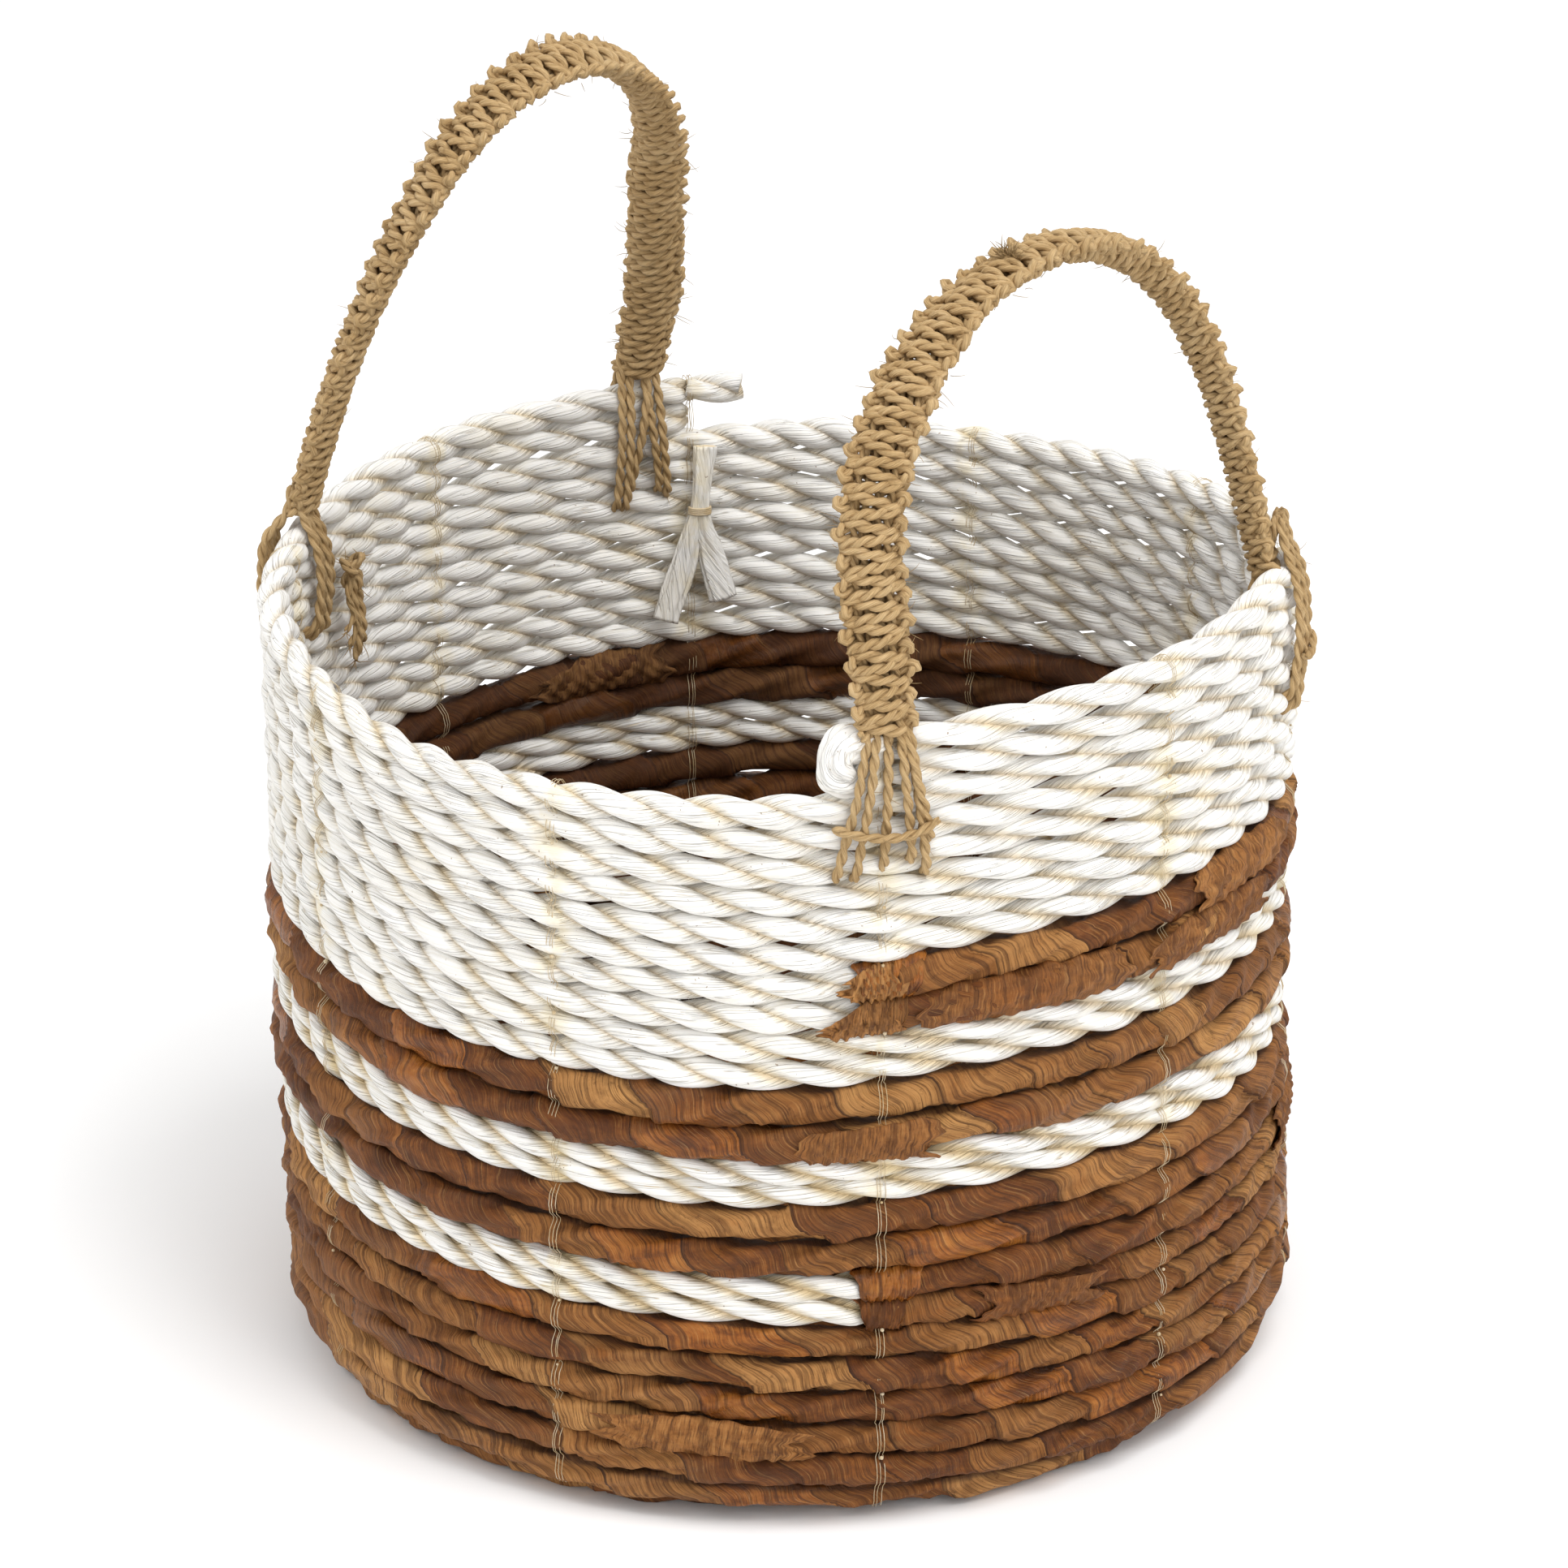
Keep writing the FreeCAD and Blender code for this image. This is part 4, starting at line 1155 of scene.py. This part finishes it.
def addKnot():
    phi = knot["phi"]
    middle = rimAt(phi) - knot["drop"]
    turns = np.linspace(0, 2 * math.pi, 90)
    size = knot["size"]
    across = size * (np.sin(turns) + 1.2 * np.sin(2 * turns))
    upwards = size * (np.cos(turns) - 1.2 * np.cos(2 * turns))
    outwards = -size * 0.9 * np.sin(3 * turns)
    loop = np.array([wallSpot(phi, knot["inwards"] + o * 0.8, middle + u, a)
                     for a, u, o in zip(across, upwards, outwards)])
    lines = [loop]
    for foot, fall in knot["tails"]:
        points = [wallSpot(phi, knot["inwards"], middle - 0.001, foot * 0.2),
                  wallSpot(phi, knot["inwards"] - 0.001, middle + fall * 0.4, foot * 0.9),
                  wallSpot(phi, knot["inwards"] - 0.0025, middle + fall * 0.75, foot * 0.7),
                  wallSpot(phi, knot["inwards"] - 0.001, middle + fall, foot * 1.3)]
        lines.append(smoothLine(points, cord["step"]))
    paths = []
    radii = []
    for number, line in enumerate(lines):
        ply = 1.0 if number < 3 else 0.7
        made = twoPly(evenPoints(np.array(line), cord["step"]), cord["plyRadius"] * ply,
                      cord["twistLength"], number)
        paths += made[0]
        radii += made[1]
    rng = np.random.default_rng(8)
    spots = [(lines[0][rng.integers(0, 90)], rng.normal(0, 1, 3)) for k in range(60)]
    spots += [(line[-1], np.array((rng.normal(), rng.normal(), -1.5)))
              for line in lines[1:] for k in range(6)]
    addHairs(paths, radii, spots, 9, 0.007, 0.00016)
    mesh = makeTubes("knot_left_front", paths, radii, cord["sides"], "MINIMUM")
    addPiece("knot_left_front", mesh, cordFinish, "root", ["knot_left_front"])


addKnot()


def leafMesh(name, pair, rope, first, last, low, high, lift, seed, columns=46, rows=18, thickness=0.00035):
    # A strip of leaf lying on a rope: from turn first to last, between two angles round the rope that
    # vary along it (0 at the rim side, 90 outside, 180 below). Its ends are torn.
    reach = abs(last - first) / fullTurn * 2 * math.pi * wallCentre
    line = ropeLine(pair, rope, first, last, reach / columns, 0)
    count = len(line["along"])
    spot = np.linspace(0, 1, count)
    lowAt = np.interp(spot, *np.array(low).T)
    highAt = np.interp(spot, *np.array(high).T)
    tear = 6.0 * np.sin(spot * 13 + seed) + 3.0 * np.sin(spot * 37 + seed * 2)
    share = np.linspace(0, 1, rows)[None, :]
    angle = np.radians(lowAt[:, None] + (highAt - lowAt + tear)[:, None] * share)
    rise = np.interp(spot, *np.array(lift).T)[:, None]
    curl = rise * (0.35 + 0.65 * np.abs(share * 2 - 1) ** 1.6)
    crumple = 0.0005 * np.sin(angle * 5 + spot[:, None] * 31 + seed)
    crumple = crumple + 0.0004 * np.sin(angle * 9 - spot[:, None] * 53)
    radius = line["height"][:, None] / 2 + 0.0006 + curl + crumple
    ragged = 0.003 * np.sin(share * 8 + seed) + 0.0012 * np.sin(share * 23 + seed)
    near = (np.exp(-spot / 0.08) - np.exp(-(1 - spot) / 0.08))[:, None]
    tangent = np.gradient(line["place"], axis=0)
    tangent /= np.linalg.norm(tangent, axis=1, keepdims=True)
    layers = []
    for layer in (0, 1):
        size = (radius + layer * thickness)[:, :, None]
        spoke = line["rim"][:, None, :] * np.cos(angle)[:, :, None]
        spoke = spoke + line["out"][:, None, :] * np.sin(angle)[:, :, None]
        place = line["place"][:, None, :] + spoke * size + tangent[:, None, :] * (ragged * near)[:, :, None]
        layers.append(place)
    work = bmesh.new()
    leaf = work.loops.layers.uv.new("leaf")
    grids = [[[work.verts.new(co) for co in row] for row in place] for place in layers]
    spots = {}
    for grid in grids:
        for i in range(count):
            for k in range(rows):
                phase = line["along"][i] / barkRope["wrapLength"] + 0.004 * k
                spots[grid[i][k]] = (phase, k / rows + 10 * seed)
    for i in range(count - 1):
        for k in range(rows - 1):
            for grid in grids:
                work.faces.new((grid[i][k], grid[i + 1][k], grid[i + 1][k + 1], grid[i][k + 1]))
    border = [(i, 0) for i in range(count)] + [(count - 1, k) for k in range(1, rows)]
    border += [(i, rows - 1) for i in range(count - 2, -1, -1)] + [(0, k) for k in range(rows - 2, 0, -1)]
    for (i, k), (j, m) in zip(border, border[1:] + border[:1]):
        work.faces.new((grids[0][i][k], grids[0][j][m], grids[1][j][m], grids[1][i][k]))
    for face in work.faces:
        face.smooth = True
        for loop in face.loops:
            loop[leaf].uv = spots[loop.vert]
    bmesh.ops.recalc_face_normals(work, faces=work.faces)
    mesh = bpy.data.meshes.new(name)
    work.to_mesh(mesh)
    work.free()
    return mesh


# Where the rope changes colour, leaf is wrapped round the joint, with a torn pointed end.
def addSplices():
    for pair, whiteTurns in ropePairs:
        name = "leaf_splice_" + pair
        change = fullTurn * whiteTurns
        parts = []
        for rope, start, end in ((1, -1.6, 4.4), (2, -2.0, 3.4)):
            parts.append(leafMesh("wrap", pair, rope, change + start, change + end,
                                  ((0, 2), (1, -6)), ((0, 352), (1, 346)),
                                  ((0, 0.0009), (0.5, 0.0004), (1, 0.0009)), 3 + rope))
        if pair == "a":
            parts.append(leafMesh("flap", pair, 2, change - 5.6, change + 2.0,
                                  ((0, 96), (0.35, 60), (0.7, 20), (1, 0)),
                                  ((0, 128), (0.35, 150), (0.7, 175), (1, 190)),
                                  ((0, 0.0026), (0.4, 0.0012), (1, 0.0006)), 5))
            parts.append(leafMesh("flap", pair, 1, change - 3.8, change + 2.4,
                                  ((0, 70), (0.5, 30), (1, 0)), ((0, 104), (0.5, 140), (1, 170)),
                                  ((0, 0.0022), (0.4, 0.0010), (1, 0.0006)), 6))
        addPiece(name, joinMeshes(name, parts), wholeLeafFinish, "root", [name])


addSplices()

# Larger strips of leaf that have come loose from the bark ropes: pair, rope, turns past the change
# of colour, angles round the rope, lift and a seed.
looseLeaves = (
    ("a", 2, 5.0, 30.0, ((0, 20), (0.5, 10), (1, 30)), ((0, 175), (0.5, 190), (1, 165)),
     ((0, 0.0006), (0.8, 0.0010), (1, 0.0018)), 7),
    ("a", 1, 42.0, 62.0, ((0, 20), (0.5, 8), (1, 40)), ((0, 120), (0.5, 190), (1, 150)),
     ((0, 0.0010), (0.7, 0.0016), (1, 0.0030)), 8),
    ("a", 2, 34.0, 56.0, ((0, 60), (0.5, 20), (1, 50)), ((0, 130), (0.5, 200), (1, 120)),
     ((0, 0.0022), (0.5, 0.0010), (1, 0.0026)), 9),
    ("b", 2, 12.0, 26.0, ((0, 30), (1, 60)), ((0, 180), (1, 150)),
     ((0, 0.0012), (0.7, 0.0008), (1, 0.0020)), 11),
    ("b", 1, 64.0, 84.0, ((0, 40), (0.5, 15), (1, 60)), ((0, 150), (0.5, 190), (1, 130)),
     ((0, 0.0020), (0.5, 0.0008), (1, 0.0022)), 12),
    ("a", 2, 168.0, 184.0, ((0, 60), (0.4, 20), (1, 30)), ((0, 110), (0.4, 170), (1, 190)),
     ((0, 0.0024), (0.5, 0.0010), (1, 0.0016)), 13),
    ("a", 1, 184.0, 202.0, ((0, -170), (0.4, -190), (1, -120)), ((0, -30), (0.5, -10), (1, -80)),
     ((0, 0.0010), (0.5, 0.0008), (1, 0.0024)), 14),
    ("a", 2, 352.0, 366.0, ((0, 50), (1, 40)), ((0, 200), (1, 150)),
     ((0, 0.0008), (0.6, 0.0008), (1, 0.0024)), 15),
    ("b", 1, 212.0, 228.0, ((0, 30), (1, 50)), ((0, 170), (1, 140)),
     ((0, 0.0018), (0.5, 0.0008), (1, 0.0022)), 16),
    ("b", 2, 330.0, 352.0, ((0, 60), (0.5, 20), (1, 60)), ((0, 120), (0.5, 180), (1, 120)),
     ((0, 0.0024), (0.5, 0.0008), (1, 0.0026)), 17),
)


def addLooseLeaves():
    change = dict(ropePairs)
    parts = []
    for pair, rope, first, last, low, high, lift, seed in looseLeaves:
        start = fullTurn * change[pair]
        columns = int((last - first) * 3.0)
        parts.append(leafMesh("leaf", pair, rope, start + first, start + last,
                              low, high, lift, seed, columns))
    addPiece("bark_leaves", joinMeshes("bark_leaves", parts), wholeLeafFinish, "root")


addLooseLeaves()
print("rope ends, knot and leaves made")
print("legs made")

stitch = {
    "strands": (-0.0013, -0.0002, 0.0010),
    "radius": 0.00013,
    "reach": 0.0054,         # from a rope's centre to the thread, on white rope
    "knotRadius": 0.0007,
}


def rowsAt(phi):
    # centres of the ropes that a column crosses, from the rim down
    rows = []
    for pair, start in (("a", basket["startA"]), ("b", basket["startB"])):
        for rope in (1, 2):
            turn = (phi - start) % fullTurn
            while True:
                height = float(rowHeight(pair, turn))
                rise = float(np.interp(turn, turnGrid, pairRise[pair])) + (1.5 - rope) * height
                if rise < cornerArc * 0.4:
                    break
                change = fullTurn * (basket["whiteTurnsA"] if pair == "a" else basket["whiteTurnsB"])
                rows.append((rise, height, turn < change))
                turn += fullTurn
    return sorted(rows, reverse=True)


def rowSpot(phi, rise, reach, angle, across):
    bend = min(max((cornerArc - rise) / basket["cornerRadius"], 0), math.pi / 2)
    radius = -basket["cornerRadius"] * (1 - math.cos(bend))
    z = basket["baseHeight"] + basket["cornerRadius"] * (1 - math.sin(bend)) + max(rise - cornerArc, 0)
    turned = angle - bend
    return wallSpot(phi, radius + reach * math.cos(turned), z + reach * math.sin(turned), across)


def addColumn(number):
    phi = columnStart + number * 360 / columnCount
    name = "stitch_column_%02d" % (number + 1)
    rows = rowsAt(phi)
    rng = random.Random(number + 5)
    paths = []
    for strand in stitch["strands"]:
        points = []
        for face in (-1, 1):
            part = []
            for order, (rise, height, white) in enumerate(rows):
                reach = stitch["reach"] if white else height * 0.53
                drift = strand + rng.uniform(-0.0004, 0.0004)
                for angle in (62, 30, 0, -30, -62):
                    turned = angle if face == 1 else 180 - angle
                    part.append(rowSpot(phi, rise, reach, math.radians(turned), drift))
            if face == -1:
                part.reverse()
                part.append(rowSpot(phi, rows[0][0], stitch["reach"], math.radians(90), strand))
            points += part
        paths.append(np.array(points))
    radii = [np.full(len(path), stitch["radius"]) for path in paths]
    mesh = makeTubes(name, paths, radii, 4, "MINIMUM")
    work = bmesh.new()
    work.from_mesh(mesh)
    for order, (rise, height, white) in enumerate(rows[:-1]):
        if order % 2 and rng.random() < 0.75:
            reach = 0.0042 if white else 0.0050
            spot = rowSpot(phi, rise - height / 2, reach, 0.0, rng.uniform(-0.001, 0.001))
            knotSize = stitch["knotRadius"] * rng.uniform(0.7, 1.25)
            turned = Matrix.Translation(spot) @ Matrix.Rotation(rng.uniform(0, 3), 4, "Z")
            bmesh.ops.create_icosphere(work, subdivisions=1, radius=knotSize, matrix=turned)
    work.to_mesh(mesh)
    work.free()
    return addPiece(name, mesh, threadFinish, "root", [name])


for number in range(columnCount):
    addColumn(number)
print("stitching made")

floorSize = 12.0
floorWork = bmesh.new()
bmesh.ops.create_grid(floorWork, x_segments=1, y_segments=1, size=floorSize)
floorMesh = bpy.data.meshes.new("floor")
floorWork.to_mesh(floorMesh)
floorWork.free()
floorFinish = Finish("paleFloor", Roughness=0.9)
floorFinish.shader.inputs["Base Color"].default_value = (0.97, 0.97, 0.97, 1)
floorMesh.materials.append(floorFinish.material)
floor = bpy.data.objects.new("floor", floorMesh)
bpy.context.scene.collection.objects.link(floor)

view = {
    "azimuth": 43.3,
    "elevation": 23.24,
    "distance": 2.600,
    "aimHeight": 0.1984,
    "aimRight": 0.002,
    "lens": 170.6,
}
azimuth = math.radians(view["azimuth"])
elevation = math.radians(view["elevation"])
level = math.cos(elevation)
back = Vector((math.sin(azimuth) * level, -math.cos(azimuth) * level, math.sin(elevation)))
aim = Vector((math.cos(azimuth), math.sin(azimuth), 0)) * view["aimRight"] + Vector((0, 0, view["aimHeight"]))
cameraData = bpy.data.cameras.new("camera")
cameraData.lens = view["lens"]
cameraData.sensor_width = 36.0
camera = bpy.data.objects.new("camera", cameraData)
camera.location = aim + back * view["distance"]
camera.rotation_mode = "QUATERNION"
camera.rotation_quaternion = (-back).to_track_quat("-Z", "Y")
bpy.context.scene.collection.objects.link(camera)
bpy.context.scene.camera = camera

lamps = (
    ("keyLamp", (-1.3, -1.6, 2.2), 1.3, 16.0),
    ("fillLamp", (2.4, -0.9, 1.5), 2.0, 16.0),
    ("topLamp", (1.3, 0.0, 2.8), 1.6, 48.0),
)
for name, place, width, power in lamps:
    data = bpy.data.lights.new(name, "AREA")
    data.size = width
    data.energy = power
    lamp = bpy.data.objects.new(name, data)
    lamp.location = place
    lamp.rotation_mode = "QUATERNION"
    lamp.rotation_quaternion = (Vector((0, 0, 0.15)) - Vector(place)).to_track_quat("-Z", "Y")
    bpy.context.scene.collection.objects.link(lamp)
world = bpy.data.worlds.new("studio")
world.use_nodes = True
world.node_tree.nodes["Background"].inputs["Color"].default_value = (1.0, 1.0, 1.0, 1)
world.node_tree.nodes["Background"].inputs["Strength"].default_value = 0.80
bpy.context.scene.world = world
bpy.context.scene.view_settings.view_transform = "Standard"
